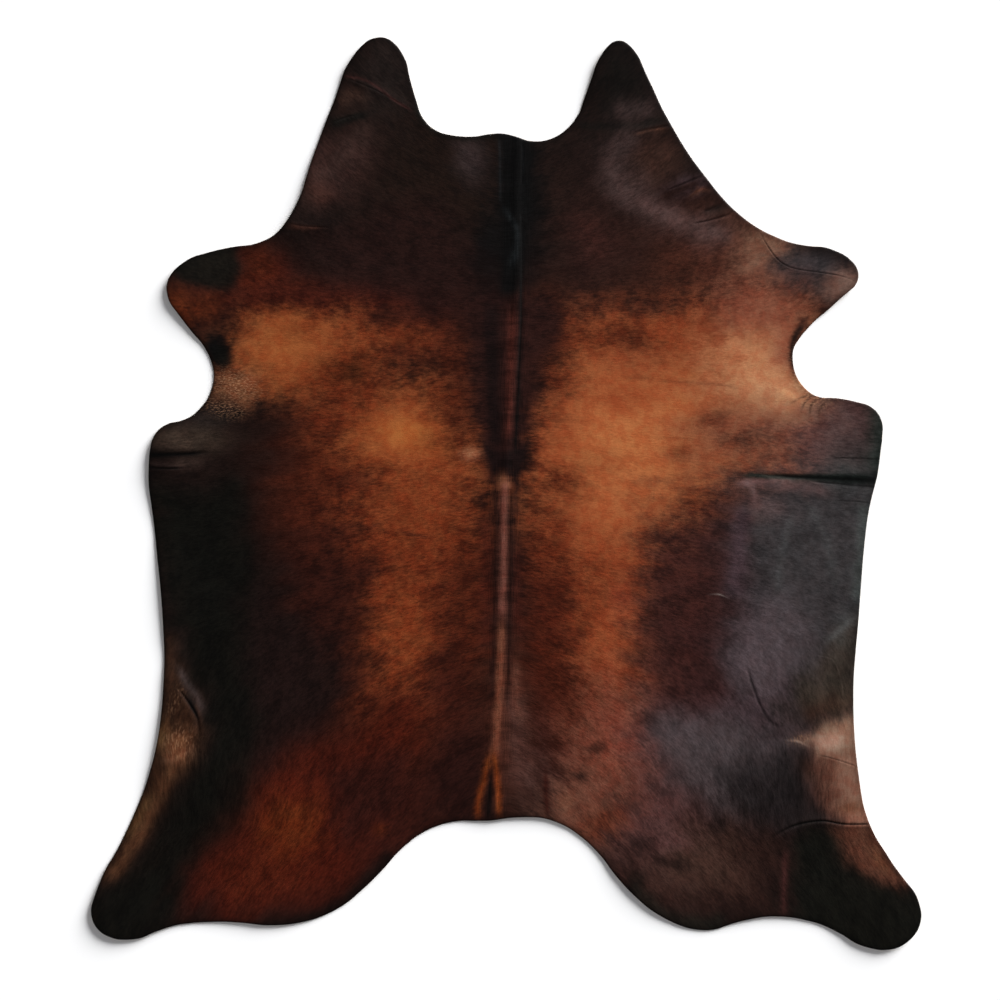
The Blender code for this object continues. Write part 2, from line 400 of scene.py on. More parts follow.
# Creases pressed into the hair: a dark valley between two lips, along a drawn route from its thin end.
# Every table below gives places and sizes in mm and turns in degrees.
# valley depth, lip height, lip reach, valley width at the start and end, darkening of the valley (the skin
# where the hair parts, and painted shade), painted highlight on the lit lip, route
creases = {
    "right belly fold": (2.2, 2.6, 12, 3.2, 15, 0.93, 0.3, [(601, 47), (683, 41), (782, 36), (900, 32)]),
    "right belly lower line": (1.2, 1.2, 7, 1.8, 5.5, 0.8, 0.3, [
        (720, 30), (790, 24), (840, 19), (890, 16)]),
    "right belly upper line": (0.5, 0.6, 7, 1.5, 3.5, 0.45, 0, [(781, 86), (845, 84), (900, 82)]),
    "right belly faint line": (0.4, 0.5, 5, 1.3, 2.4, 0.3, 0.1, [(791, -18), (845, -20), (890, -24)]),
    "left belly fold": (2, 2, 11, 3, 14, 0.97, 0.1, [(-709, 100), (-782, 95), (-880, 92)]),
    "left belly lower line": (1.2, 1.5, 8, 1.6, 5.5, 0.7, 0.3, [(-767, 62), (-820, 60), (-880, 64)]),
    "right hock crease": (1.4, 2, 9, 3.4, 1.8, 0.8, 0.5, [
        (632, -835), (670, -811), (709, -796), (763, -789), (818, -797), (900, -796)]),
    "right flank crease": (0.9, 0.9, 10, 3.2, 4.6, 0.62, 0, [
        (579, -415), (607, -497), (633, -545), (664, -566)]),
    "right stifle line": (0.4, 0.6, 6, 1.4, 1.8, 0.3, 0.1, [(745, -628), (796, -641), (852, -660)]),
    "right flank arc": (0, 0.6, 6, 1.6, 1.6, 0, 0.35, [
        (731, -385), (789, -400), (811, -455), (816, -505)]),
    "right lobe line": (0.4, 1.4, 9, 3, 3, 0.2, 0.35, [(297, 867), (343, 877), (410, 890)]),
    "right cheek crease": (0.9, 1.2, 9, 1.6, 3, 0.45, 0.15, [(381, 728), (413, 740), (475, 766)]),
    "right neck crease": (1, 1.4, 10, 1.8, 3, 0.5, 0.3, [(449, 650), (492, 658), (543, 674)]),
    "right neck dip": (1.4, 1.6, 16, 5, 9, 0.45, 0.1, [(468, 679), (499, 686), (536, 707)]),
    "right fore shank crease": (0.7, 0.7, 6, 1.8, 1.6, 0.5, 0.05, [
        (606, 641), (625, 605), (651, 568), (676, 549), (710, 539), (770, 530), (810, 522), (847, 508)]),
    "left neck band": (0, 2, 18, 5, 5, 0, 0, [(-323, 904), (-391, 841), (-425, 781), (-497, 708)]),
    "left neck edge": (0.4, 0.8, 7, 1.8, 2.4, 0.3, 0.2, [(-420, 894), (-388, 906), (-360, 913)]),
    "left cheek line": (0.5, 0.8, 8, 1.6, 2.4, 0.35, 0.1, [(-422, 641), (-478, 643), (-526, 650)]),
    "left lobe line": (0.2, 0.8, 7, 1.6, 1.8, 0.1, 0.2, [(-393, 1005), (-309, 969), (-227, 923)]),
    "left flank crease": (1, 1.4, 9, 2.4, 4.4, 0.55, 0.6, [
        (-796, -462), (-767, -500), (-744, -540), (-738, -585)]),
}
backbone = {
    "route": [(28, 900), (25, 708), (24, 419), (-2, 33), (-7, -305), (-14, -498), (-22, -643), (-41, -840)],
    "lift": 0.5,  # over the CAD's own ridge
    "halfWidth": 9.0,
    "grooveDepth": 0.7,
    "grooveAt": 13.0,
    "grooveWidth": 3.0,
    "combed": 45.0,  # hair lies along the backbone this near to it
}
pressing = {
    "lineStep": 0.0035,  # metres between the points of a drawn line
    "reach": 0.004,  # metres a crease is felt beyond three lip reaches
    "fadeBoth": 5.0,  # a crease comes in over a fifth of its length, and goes out again
    "runsOff": 0.85,  # metres across: one that ends past this runs off the hide instead
    "fadeStart": 4.0,
    "shineAt": 1.9,  # valley widths from the line to its shining lip
}


def drawnLine(route, closed=False, step=pressing["lineStep"]):
    # a smooth line in metres through a route in mm
    return smoothLine(np.array(route) / 1000, step, closed)


creaseLines = [drawnLine(row[-1]) for row in creases.values()]
backboneLine = drawnLine(backbone["route"])


def bell(value):
    return np.exp(-value ** 2)


def pressCreases(points):
    # the height in metres, the valley darkening (partly painted shade) and the painted lip highlight that
    # the creases add
    lift = np.zeros(len(points))
    shade = np.zeros(len(points))
    shine = np.zeros(len(points))
    for row, line in zip(creases.values(), creaseLines):
        depth, lip, lipReach, widthStart, widthEnd, dark, bright, route = row
        near = nearLine(points, line, pressing["reach"] + 3 * lipReach / 1000)
        distance, side, along = distanceTo(points[near], line, closed=False)
        distance = distance * 1000
        share = along / walked(line)[-1]
        if abs(line[-1, 0]) > pressing["runsOff"]:
            fade = np.clip(share * pressing["fadeStart"], 0, 1)
        else:
            fade = np.clip(np.minimum(share, 1 - share) * pressing["fadeBoth"], 0, 1)
        width = widthStart + (widthEnd - widthStart) * share
        valley = bell(distance / width)
        lift[near] += fade * (lip * bell(distance / lipReach) - (depth + lip / 2) * valley) / 1000
        # painted shade in the valley, and a painted highlight on one lip
        shade[near] = np.maximum(shade[near], fade * dark * valley)
        onLip = bell((distance - pressing["shineAt"] * width) / width) * (side < 0)
        shine[near] = np.maximum(shine[near], fade * onLip * bright)
    distance = distanceTo(points, backboneLine, closed=False)[0] * 1000
    groove = bell((distance - backbone["grooveAt"]) / backbone["grooveWidth"])
    lift += backbone["lift"] * bell(distance / backbone["halfWidth"]) / 1000
    lift -= backbone["grooveDepth"] * groove / 1000
    return lift, shade, shine


# The coat's colours, in patches laid over the blackish ground.
# Some patches, fields and lines below are painted sheen, painted highlights and painted shade, several of
# them over hair of their own colour; each is marked where it stands.
palette = {
    "black": "11100c",
    "soot": "0d0c0c",
    "greenBlack": "15120f",
    "blackBrown": "1e120f",
    "darkMaroon": "2b120e",
    "maroon": "38150e",
    "oxblood": "43170e",
    "brick": "52200f",
    "russet": "602713",
    "copper": "74351a",
    "chestnut": "7f3c20",
    "honey": "8c4926",
    "tan": "96532f",
    "amber": "9a5a33",
    "pinkTan": "a36b49",
    "paleTan": "ad7b57",
    "umber": "301b16",
    "rosewood": "4b2519",
    "plum": "3b2420",
    "mauve": "46363a",
    "charcoal": "373335",
    "slate": "3a4241",
    "sheenBrown": "493229",
    "rose": "563736",
    "roseBrown": "653a2c",
    "taupe": "6b4a39",
    "ember": "5c260e",
    "greenEdge": "24302b",
    "tanHair": "7a4a30",
    "umberGrey": "2b2320",
    "bark": "5c3a26",
    "flankMauveSheen": "4e4346",
    "hollowBrown": "402820",
    "shankPale": "6c5046",
    "armpitRose": "7a4634",
    "cornerTaupe": "3d3027",
    "gold": "9c5c2c",
    "neckBrown": "22150f",
    "neckMaroon": "2a1512",
    "spineDark": "1d0f0e",
    "spineBrown": "2b1512",
    "greyHem": "27292b",
    "fineGrey": "202224",
    "mauveHem": "262a2c",
    "sheenTaupe": "43302b",
    "roseLine": "4d2926",
    "paintedSheenMauve": "4e3c3a",
    "ridgeRose": "52261e",
    "ridgeMauve": "6a3e34",
    "ridgeBrown": "6e3f2e",
    "tailOrange": "7a3814",
    "rumpGrey": "50342e",
    "paintedFoldHighlight": "6a5150",
    "bandMauve": "443439",
    "paintedEdgeSheen": "545656",
    "hockGrey": "4a3f3e",
    "maroonBlack": "211311",
    "redThigh": "4a170b",
    "hockOlive": "3c2416",
    "ribDark": "3a1d1b",
    "bellyGreySheen": "393536",
    "bellyEdgeSheen": "454a48",
    "cornerGreen": "3b322a",
    "oliveBrown": "413022",
    "haunchSlateSheen": "433b3c",
    "haunchDark": "1e1919",
    "wedge": "745848",
    "stifleBrown": "5a382d",
    "stifleTanHighlight": "7f5c4c",
    "shankBlack": "15140f",
    "shankBrown": "573427",
    "notchEdge": "1a1b16",
    "paintedHighlight": "5a4340",
    "smoke": "382c2b",
    "oliveMottle": "44210f",
    "hairPale": "8f8882",
    "deepRed": "3d150c",
    "shankTan": "74503f",
    "rumpRose": "6c4134",
    "haunchPale": "b09282",
    "haunchBrown": "3c261c",
    "foldDusk": "3e2f29",
    "crackBrown": "4a2f25",
    "chestnutSide": "451a12",
    "rumpCopper": "7e3a28",
    "shankOlive": "604329",
    "paintedSlateSheen": "52474a",
    "neckRose": "44221d",
    "neckSheen": "4f3b38",
    "foreBlack": "17140f",
}
ground = "blackBrown"
# tone, across, along, reach across, reach along, turn, strength, firmness of its border
patches = {
    "neck black": ("neckBrown", -159, 761, 270, 220, 0, 0.9, 1.2),
    "left flank maroon": ("maroon", -400, -150, 130, 300, 0, 0.85, 1.3),
    "left ribs russet": ("brick", -380, 30, 170, 140, 0, 0.8, 1.1),
    "left loin russet": ("russet", -220, -260, 150, 360, 0, 0.95, 1.2),
    "left thigh red": ("oxblood", -400, -760, 240, 170, 12, 0.95, 1.5),
    "left buttock dark": ("darkMaroon", -160, -640, 140, 170, 0, 0.8, 1.1),
    "left thigh hem red": ("oxblood", -670, -930, 180, 90, 8, 0.85, 1.2),
    "collar russet, left": ("oxblood", -390, 450, 300, 70, 0, 0.9, 1.3),
    "collar russet, right": ("rosewood", 420, 440, 360, 80, 0, 0.9, 1.3),
    "right neck brown": ("umber", 230, 610, 180, 170, 0, 0.8, 1.1),
    "right neck rose": ("rosewood", 468, 588, 150, 116, 20, 0.8, 1.3),
    "right ribs brown": ("plum", 440, -210, 170, 390, 0, 0.9, 1.2),
    # dark hair with painted sheen on it
    "right belly charcoal sheen": ("charcoal", 710, -160, 220, 360, 0, 1, 1.6),
    "right rib red brown": ("rosewood", 440, -120, 60, 160, 0, 0.7, 1.3),
    # dark hair with painted blue-grey sheen
    "right haunch charcoal sheen": ("mauve", 470, -610, 270, 140, 0, 0.95, 1.3),
    "right thigh mauve": ("plum", 350, -860, 230, 180, -15, 0.95, 1.3),
    "right shank brown": ("umber", 580, -880, 120, 130, 0, 0.7, 1.2),
    "left shoulder honey": ("honey", -497, 341, 159, 106, -8, 0.92, 1.7),
    "left chest honey": ("honey", -232, 146, 164, 101, -12, 1, 1.6),
    "left shoulder gold": ("gold", -524, 354, 82, 68, 0, 0.2, 1.3),
    "left chest gold": ("gold", -208, 139, 97, 41, -8, 0.85, 1.2),
    "between the honeys": ("russet", -386, 250, 121, 72, -20, 0.8, 1.3),
    "left chest edge": ("copper", -130, 100, 100, 140, 0, 0.8, 1.2),
    "left notch brown": ("brick", -380, 310, 80, 40, 0, 0.65, 1.2),
    "left armpit pink brown": ("tanHair", -652, 255, 51, 41, 10, 0.65, 1.6),
    "left armpit lower": ("umberGrey", -726, 177, 82, 34, 20, 0.7, 1.4),
    "left loin upper": ("copper", -240, -40, 130, 110, 0, 0.85, 1.3),
    "left loin bright": ("copper", -260, -340, 100, 150, 8, 0.9, 1.3),
    "left loin dark red": ("maroon", -140, -450, 72, 159, 0, 0.8, 1.3),
    "left rump brown": ("brick", -280, -560, 110, 100, 0, 0.7, 1.2),
    "right tan ground": ("tan", 321, 180, 331, 191, 0, 0.95, 1.8),
    "right upper tan": ("chestnut", 360, 366, 253, 82, 0, 0.85, 1.4),
    "right armpit tan": ("pinkTan", 627, 293, 130, 111, 0, 0.85, 1.7),
    "right armpit pale": ("paleTan", 670, 235, 110, 55, -10, 0.85, 1.4),
    "right chest honey": ("amber", 227, 110, 150, 72, 0, 0.9, 1.3),
    "right inner brown": ("chestnut", 99, 129, 89, 130, 0, 0.8, 1.3),
    "right loin tan": ("tan", 229, -45, 150, 116, 0, 0.95, 1.3),
    "right loin russet": ("chestnut", 229, -230, 140, 159, 0, 0.8, 1.5),
    "right loin bright": ("chestnut", 260, -390, 120, 140, 0, 0.9, 1.5),
    "right rump russet": ("roseBrown", 220, -580, 100, 130, 0, 0.85, 1.3),
    "right inner red": ("oxblood", 100, -310, 70, 310, 0, 0.85, 1.3),
    "right inner red, upper": ("russet", 100, -120, 60, 110, 0, 0.6, 1.2),
    "right belly edge tan": ("roseBrown", 570, 150, 130, 100, -15, 0.7, 1.3),
    "right belly corner": ("rose", 800, 170, 130, 90, 0, 0.8, 1.4),
    "right belly corner dark": ("greenEdge", 905, 129, 39, 125, 0, 0.85, 1.5),
    "backbone black, neck": ("soot", 34, 672, 63, 222, 0, 0.9, 1.8),
    "backbone patch": ("soot", -36, 571, 51, 121, 0, 1, 2),
    "backbone maroon": ("darkMaroon", 0, 240, 80, 270, 0, 0.95, 1.7),
    "backbone spot": ("tanHair", -7, 30, 12, 27, 0, 0.95, 1.6),
    "backbone spot, left": ("roseBrown", -82, 93, 29, 14, 0, 0.6, 1.4),
    "backbone funnel": ("darkMaroon", 0, 76, 39, 58, 0, 0.6, 1.3),
    "backbone mauve, loin": ("umber", -5, -257, 34, 290, 0, 0.6, 1.5),
    "backbone mauve, rump": ("rosewood", 10, -550, 60, 190, 0, 0.75, 1.4),
    "beside the tail, left": ("darkMaroon", -110, -710, 60, 120, 0, 0.85, 1.4),
    "left lobe black": ("umberGrey", -294, 1003, 72, 97, 0, 0.6, 1.3),
    "left neck sheen, lower": ("plum", -420, 780, 100, 80, 40, 0.8, 1.2),
    "left cheek dark": ("greenBlack", -450, 620, 120, 70, 0, 0.6, 1.2),
    "left neck rose": ("rosewood", -454, 728, 34, 29, -40, 0.4, 1.3),
    "throat sheen": ("smoke", -89, 810, 41, 58, 10, 0.95, 1.2),
    "left fore shank russet": ("ember", -791, 448, 43, 53, -30, 0.7, 1.4),
    "left fore shank dark red": ("darkMaroon", -726, 472, 48, 58, 0, 0.75, 1.4),
    "left shoulder russet": ("oxblood", -580, 530, 80, 60, 0, 0.85, 1.3),
    "left shoulder brown": ("brick", -598, 534, 48, 72, 0, 0.7, 1.3),
    "left fore shank spot": ("soot", -688, 344, 36, 53, 30, 1, 2.2),
    "left belly corner grey": ("cornerTaupe", -763, 134, 101, 34, 0, 0.78, 1.4),
    # painted highlight on the left hock
    "left flank pale highlight": ("taupe", -787, -614, 43, 22, -10, 0.7, 1.4),
    "left hock brown, upper": ("bark", -791, -614, 43, 48, -10, 0.8, 1.5),
    "left thigh bright red": ("brick", -550, -750, 120, 100, 20, 0.55, 1.2),
    "left thigh spark": ("ember", -309, -810, 19, 14, 0, 0.7, 1.2),
    "right lobe black": ("greenBlack", 280, 990, 80, 130, 8, 0.8, 1.3),
    "right neck hollow": ("hollowBrown", 362, 805, 63, 68, -30, 0.9, 1.3),
    # painted shade in the dip beside the neck crease
    "right cheek dip shade": ("greenBlack", 512, 682, 43, 14, 12, 0.6, 1.4),
    "right cheek brown": ("hollowBrown", 526, 645, 63, 39, 20, 0.7, 1.3),
    "right fore shank brown": ("shankTan", 623, 588, 72, 53, 20, 0.85, 1.3),
    "right fore shank charcoal": ("charcoal", 734, 537, 101, 53, -10, 0.95, 1.8),
    "right fore shank russet": ("armpitRose", 618, 452, 106, 72, 0, 0.85, 1.3),
    "right fore shank tip": ("shankPale", 813, 496, 58, 34, 10, 1, 1.4),
    # painted shadow along the armpit edge
    "right armpit edge shadow": ("darkMaroon", 700, 332, 22, 53, 0, 0.9, 1.6),
    # painted blue-grey sheen on dark hair at the belly edge
    "right belly blue sheen edge": ("slate", 830, -90, 60, 230, 4, 0.7, 1.3),
    "right belly shadow": ("umberGrey", 570, -120, 60, 140, 0, 0.45, 1.2),
    "right flank brown": ("umberGrey", 720, -500, 90, 80, 0, 0.9, 1.4),
    # mauve hair with painted sheen on it
    "right flank mauve sheen": ("mauve", 613, -390, 72, 135, 0, 0.85, 1.3),
    "right flank edge": ("oliveBrown", 801, -498, 48, 31, 0, 0.8, 1.4),
    "right rump mauve": ("rose", 350, -580, 80, 100, 0, 0.6, 1.2),
    "right buttock mauve": ("sheenBrown", 170, -770, 100, 80, 0, 0.7, 1.2),
    "right thigh hem": ("umber", 323, -952, 97, 39, -25, 0.7, 1.3),
    "right thigh rose": ("rose", 360, -780, 110, 80, 0, 0.7, 1.2),
    "right thigh rose, lower": ("sheenBrown", 470, -890, 100, 80, 0, 0.6, 1.2),
    "backbone maroon, right": ("maroon", 100, 350, 60, 140, 0, 0.75, 1.4),
    "left rib notch": ("brick", -410, 80, 80, 60, 0, 0.55, 1.2),
    "left flank shade": ("darkMaroon", -390, -280, 80, 220, 0, 0.8, 1.3),
    # painted mauve sheen on the right neck
    "right neck grey sheen": ("mauve", 444, 742, 53, 24, 20, 0.6, 1.3),
    "left chest upper": ("russet", -210, 380, 90, 50, 0, 0.6, 1.2),
    "left chest upper, outer": ("copper", -300, 370, 90, 50, 0, 0.6, 1.2),
    "right rump rose": ("roseBrown", 280, -689, 89, 89, 0, 0.45, 1.2),
    "left shoulder top shade": ("oxblood", -530, 475, 170, 36, 0, 0.85, 1.4),
    "left chest inner shade": ("maroon", -105, 200, 50, 120, 0, 0.7, 1.3),
    "left haunch hollow": ("blackBrown", -610, -690, 90, 80, 0, 0.6, 1.2),
    "right buttock rose": ("roseBrown", 180, -780, 80, 60, 0, 0.6, 1.2),
    "right buttock copper": ("roseBrown", 198, -696, 72, 92, 0, 0.6, 1.3),
    "right chest gold": ("amber", 420, 230, 159, 70, 0, 0.15, 1.2),
    "right loin gold": ("chestnut", 190, -110, 90, 70, 0, 0.5, 1.2),
    "right flank shade": ("plum", 370, -350, 70, 200, 0, 0.8, 1.3),
    "left belly edge grey": ("umberGrey", -800, -410, 50, 80, 0, 0.5, 1.2),
    "right inner brick": ("brick", 106, -354, 53, 145, 0, 0.4, 1.2),
    "left inner brick": ("brick", -87, -257, 43, 169, 0, 0.45, 1.2),
    "waist brick": ("brick", 135, 33, 48, 36, 0, 0.6, 1.3),
    "left chest corner": ("brick", -125, 327, 53, 36, 0, 0.5, 1.3),
    "left waist russet": ("russet", -425, 180, 63, 34, 10, 0.6, 1.3),
    "collar shade": ("umber", 347, 452, 87, 22, 0, 0.5, 1.3),
    "right loin corner": ("brick", 473, -23, 58, 31, -10, 0.5, 1.3),
    "left rump shade": ("deepRed", -261, -508, 58, 48, 0, 0.5, 1.3),
    "neck rose, right": ("neckRose", 208, 612, 63, 68, 0, 0.5, 1.2),
    "neck sheen, right": ("neckSheen", 309, 747, 39, 34, 0, 0.4, 1.2),
    "neck sheen, upper right": ("neckSheen", 299, 896, 34, 24, 0, 0.3, 1.2),
    "left hock bend": ("shankOlive", -828, -576, 24, 29, 0, 0.5, 1.2),
    "right rump copper glow": ("rumpCopper", 256, -571, 58, 101, 0, 0.42, 1.2),
    "right loin copper": ("rumpCopper", 277, -257, 31, 41, 0, 0.35, 1.2),
    "right waist brick": ("brick", 179, -16, 39, 29, 0, 0.3, 1.2),
    "right rump chestnut": ("brick", 145, -537, 53, 97, 0, 0.4, 1.2),
    "right chest russet": ("russet", 121, 274, 43, 34, 0, 0.4, 1.2),
    "right waist mottle": ("brick", 227, 78, 63, 39, 0, 0.25, 1.2),
    "right loin side": ("brick", 203, -257, 36, 92, 0, 0.3, 1.2),
    "left waist russet, lower": ("russet", -430, 173, 53, 34, 10, 0.45, 1.2),
    "left loin russet, second": ("russet", -309, -160, 63, 48, 0, 0.35, 1.2),
    "left waist shade": ("maroonBlack", -352, 33, 58, 29, 0, 0.3, 1.2),
    "right chest tan": ("tanHair", 328, 327, 63, 39, 0, 0.2, 1.2),
    "right waist tan": ("tanHair", 425, 151, 53, 29, 0, 0.2, 1.2),
    "shoulder spot, lower": ("black", -676, 329, 24, 27, 0, 0.85, 1.6),
    "spine side tan": ("pinkTan", -87, 98, 22, 14, 0, 0.36, 1.3),
    "left chest mottle": ("brick", -497, 392, 53, 29, 10, 0.45, 1.2),
    "left waist mottle": ("brick", -157, 127, 53, 22, 0, 0.5, 1.2),
    "right rump copper": ("roseBrown", 314, -503, 48, 36, 0, 0.5, 1.3),
    "left shank brown": ("ember", -729, 448, 48, 34, 30, 0.5, 1.3),
    "right chest shade": ("chestnut", 280, 235, 82, 36, 0, 0.75, 1.3),
    "right chest top shade": ("brick", 227, 380, 111, 31, 0, 0.6, 1.3),
    "right armpit shade": ("armpitRose", 676, 346, 43, 63, 0, 0.8, 1.4),
    "left chest inner": ("brick", -145, 226, 63, 53, 0, 0.6, 1.3),
    "mottle, left chest": ("oliveMottle", -372, 293, 41, 24, 10, 0.75, 1.3),
    "mottle, left chest top": ("maroon", -261, 344, 48, 17, -5, 0.6, 1.3),
    "mottle, left top": ("darkMaroon", -275, 426, 68, 22, 5, 0.6, 1.3),
    "mottle, left loin": ("darkMaroon", -340, -194, 29, 27, 0, 0.6, 1.3),
    "mottle, left inner": ("deepRed", -106, -228, 82, 101, 0, 0.2, 1.3),
    "mottle, right top": ("maroon", 304, 373, 58, 27, -8, 0.45, 1.2),
    "mottle, right chest": ("oxblood", 499, 182, 43, 19, 10, 0.42, 1.2),
    "mottle, right corner": ("umber", 574, 129, 53, 19, 0, 0.4, 1.2),
    "mottle, right waist": ("oxblood", 420, 98, 34, 22, 10, 0.4, 1.2),
    "mottle, thigh, one": ("blackBrown", 181, -684, 22, 10, -20, 0.7, 1.3),
    "mottle, thigh, two": ("umber", 217, -612, 29, 14, 10, 0.55, 1.3),
    "mottle, thigh, three": ("umber", 343, -547, 29, 22, 0, 0.6, 1.3),
    "mottle, thigh, four": ("black", 410, -559, 12, 19, 0, 0.6, 1.3),
    "mottle, thigh, five": ("ribDark", 507, -474, 39, 31, 30, 0.6, 1.3),
    "mottle, thigh, six": ("blackBrown", 323, -855, 41, 22, 15, 0.4, 1.3),
    "mottle, thigh, seven": ("blackBrown", 403, -894, 41, 14, -20, 0.7, 1.3),
    "mottle, thigh, eight": ("black", 316, -935, 34, 19, 30, 0.6, 1.3),
    "mottle, thigh, nine": ("blackBrown", 521, -807, 22, 22, 20, 0.6, 1.3),
    "thigh taupe": ("taupe", 147, -747, 22, 22, 0, 0.55, 1.3),
    "thigh olive": ("ember", 241, -793, 63, 36, 20, 0.5, 1.3),
    "thigh pink": ("rose", 401, -843, 39, 24, 0, 0.5, 1.3),
    "backbone dark, shoulder": ("darkMaroon", -10, 170, 50, 100, 0, 0.5, 1.2),
}
# Larger fields with a drawn border: tone, strength, softness of the border, corners
fields = {
    "left belly black": ("black", 1, 34, [
        (-871, 23), (-738, 13), (-654, 42), (-613, -64), (-603, -257), (-589, -402), (-589, -547),
        (-618, -648), (-613, -740), (-666, -826), (-763, -913), (-816, -1053), (-907, -1097),
        (-1016, -1065), (-992, -957), (-931, -913), (-859, -848), (-816, -754), (-763, -662),
        (-726, -590), (-731, -498), (-767, -402), (-806, -305), (-835, -160), (-859, -16)]),
    "left haunch dusk": ("maroonBlack", 0.9, 36, [
        (-613, -233), (-521, -281), (-420, -354), (-410, -474), (-458, -571), (-526, -614), (-589, -662),
        (-618, -498)]),
    "left thigh red": ("redThigh", 0.95, 40, [
        (-584, -696), (-497, -624), (-388, -595), (-256, -510), (-208, -583), (-261, -691), (-323, -783),
        (-347, -860), (-376, -933), (-497, -988), (-642, -993), (-685, -1017), (-705, -969), (-719, -904),
        (-671, -831), (-618, -769)]),
    "left hock strip": ("hockOlive", 0.7, 18, [
        (-828, -354), (-796, -390), (-763, -474), (-729, -559), (-738, -600), (-772, -662), (-806, -703),
        (-840, -776), (-883, -851), (-936, -908), (-1004, -945), (-943, -836), (-895, -715), (-859, -595),
        (-842, -474)]),
    "right rib dusk": ("ribDark", 0.75, 40, [
        (577, 33), (487, -45), (405, -69), (331, -76), (343, -160), (347, -257), (343, -378), (360, -498),
        (444, -547), (504, -534), (536, -474), (541, -354), (560, -209), (577, -52)]),
    # dark hair with painted blue-grey sheen on the right belly
    "right belly grey sheen": ("bellyGreySheen", 1, 44, [
        (627, -6), (709, 8), (883, 18), (874, -160), (854, -354), (787, -382), (714, -411), (652, -382),
        (623, -257), (608, -112)]),
    "right flank green": ("cornerGreen", 0.85, 20, [
        (772, -366), (854, -298), (854, -474), (820, -508), (758, -527), (709, -503), (724, -426)]),
    # slate-dark hair with painted sheen on the right haunch
    "right haunch slate with painted sheen": ("haunchSlateSheen", 0.8, 34, [
        (352, -566), (444, -542), (541, -551), (625, -578), (697, -607), (717, -667), (697, -740),
        (613, -754), (516, -769), (454, -720), (405, -686), (372, -624)]),
    "right haunch dark": ("haunchDark", 0.85, 30, [
        (545, -662), (673, -624), (719, -648), (746, -715), (777, -783), (709, -817), (637, -807),
        (560, -773), (526, -730)]),
    # mauve hair with painted sheen on the right flank
    "right flank mauve sheen": ("flankMauveSheen", 0.75, 34, [
        (553, -354), (613, -276), (685, -252), (743, -310), (724, -390), (661, -455), (601, -484),
        (553, -455)]),
    "left thigh glow": ("ember", 0.8, 30, [
        (-589, -812), (-545, -740), (-473, -740), (-454, -800), (-497, -860), (-557, -865)]),
    "left thigh lower glow": ("brick", 0.35, 34, [
        (-685, -933), (-618, -860), (-533, -884), (-497, -945), (-569, -981), (-654, -981)]),
    "left thigh shade": ("maroonBlack", 0.6, 34, [
        (-425, -667), (-328, -631), (-244, -643), (-256, -740), (-323, -812), (-388, -860),
        (-413, -776)]),
    "right stifle brown": ("stifleBrown", 1, 20, [
        (724, -614), (763, -617), (840, -626), (869, -715), (888, -795), (830, -795), (796, -781),
        (763, -740), (736, -679)]),
    # painted highlight where the stifle faces the light
    "right stifle tan highlight": ("stifleTanHighlight", 0.7, 20, [
        (801, -633), (859, -638), (883, -740), (898, -802), (835, -793), (811, -740)]),
    "right stifle highlight wedge": ("wedge", 0.95, 14, [
        (705, -595), (729, -588), (746, -576), (787, -554), (832, -539), (849, -590), (840, -619),
        (801, -626), (758, -631), (731, -604)]),
    "right shank black": ("shankBlack", 1, 17, [
        (695, -841), (724, -817), (791, -810), (813, -848), (837, -894), (888, -923), (934, -942),
        (1011, -981), (1035, -1041), (927, -1150), (806, -1114), (709, -1065), (695, -933)]),
    "right shank brown": ("shankBrown", 1, 14, [
        (801, -810), (883, -797), (917, -860), (970, -933), (934, -942), (888, -921), (837, -892),
        (813, -848)]),
    "neck maroon": ("neckMaroon", 0.8, 40, [
        (-485, 631), (-376, 655), (-256, 708), (-159, 696), (-87, 612), (-68, 491), (-135, 423),
        (-256, 467), (-401, 503), (-468, 559)]),
    "left fore shank black": ("foreBlack", 0.95, 10, [
        (-806, 539), (-738, 588), (-656, 602), (-649, 559), (-642, 503), (-685, 486), (-726, 496),
        (-763, 506)]),
    "spine funnel": ("spineBrown", 0.9, 16, [
        (-87, 467), (-39, 477), (34, 467), (101, 467), (135, 404), (97, 322), (84, 226), (46, 129),
        (39, 62), (-48, 62), (-63, 129), (-82, 226), (-97, 346)]),
    "spine notch": ("spineDark", 1, 7, [
        (-53, 129), (-14, 105), (34, 119), (58, 134), (39, 57), (31, -23), (19, -52), (14, 49), (-24, 49),
        (-22, -49), (-29, -16), (-41, 47), (-60, 93)]),
}
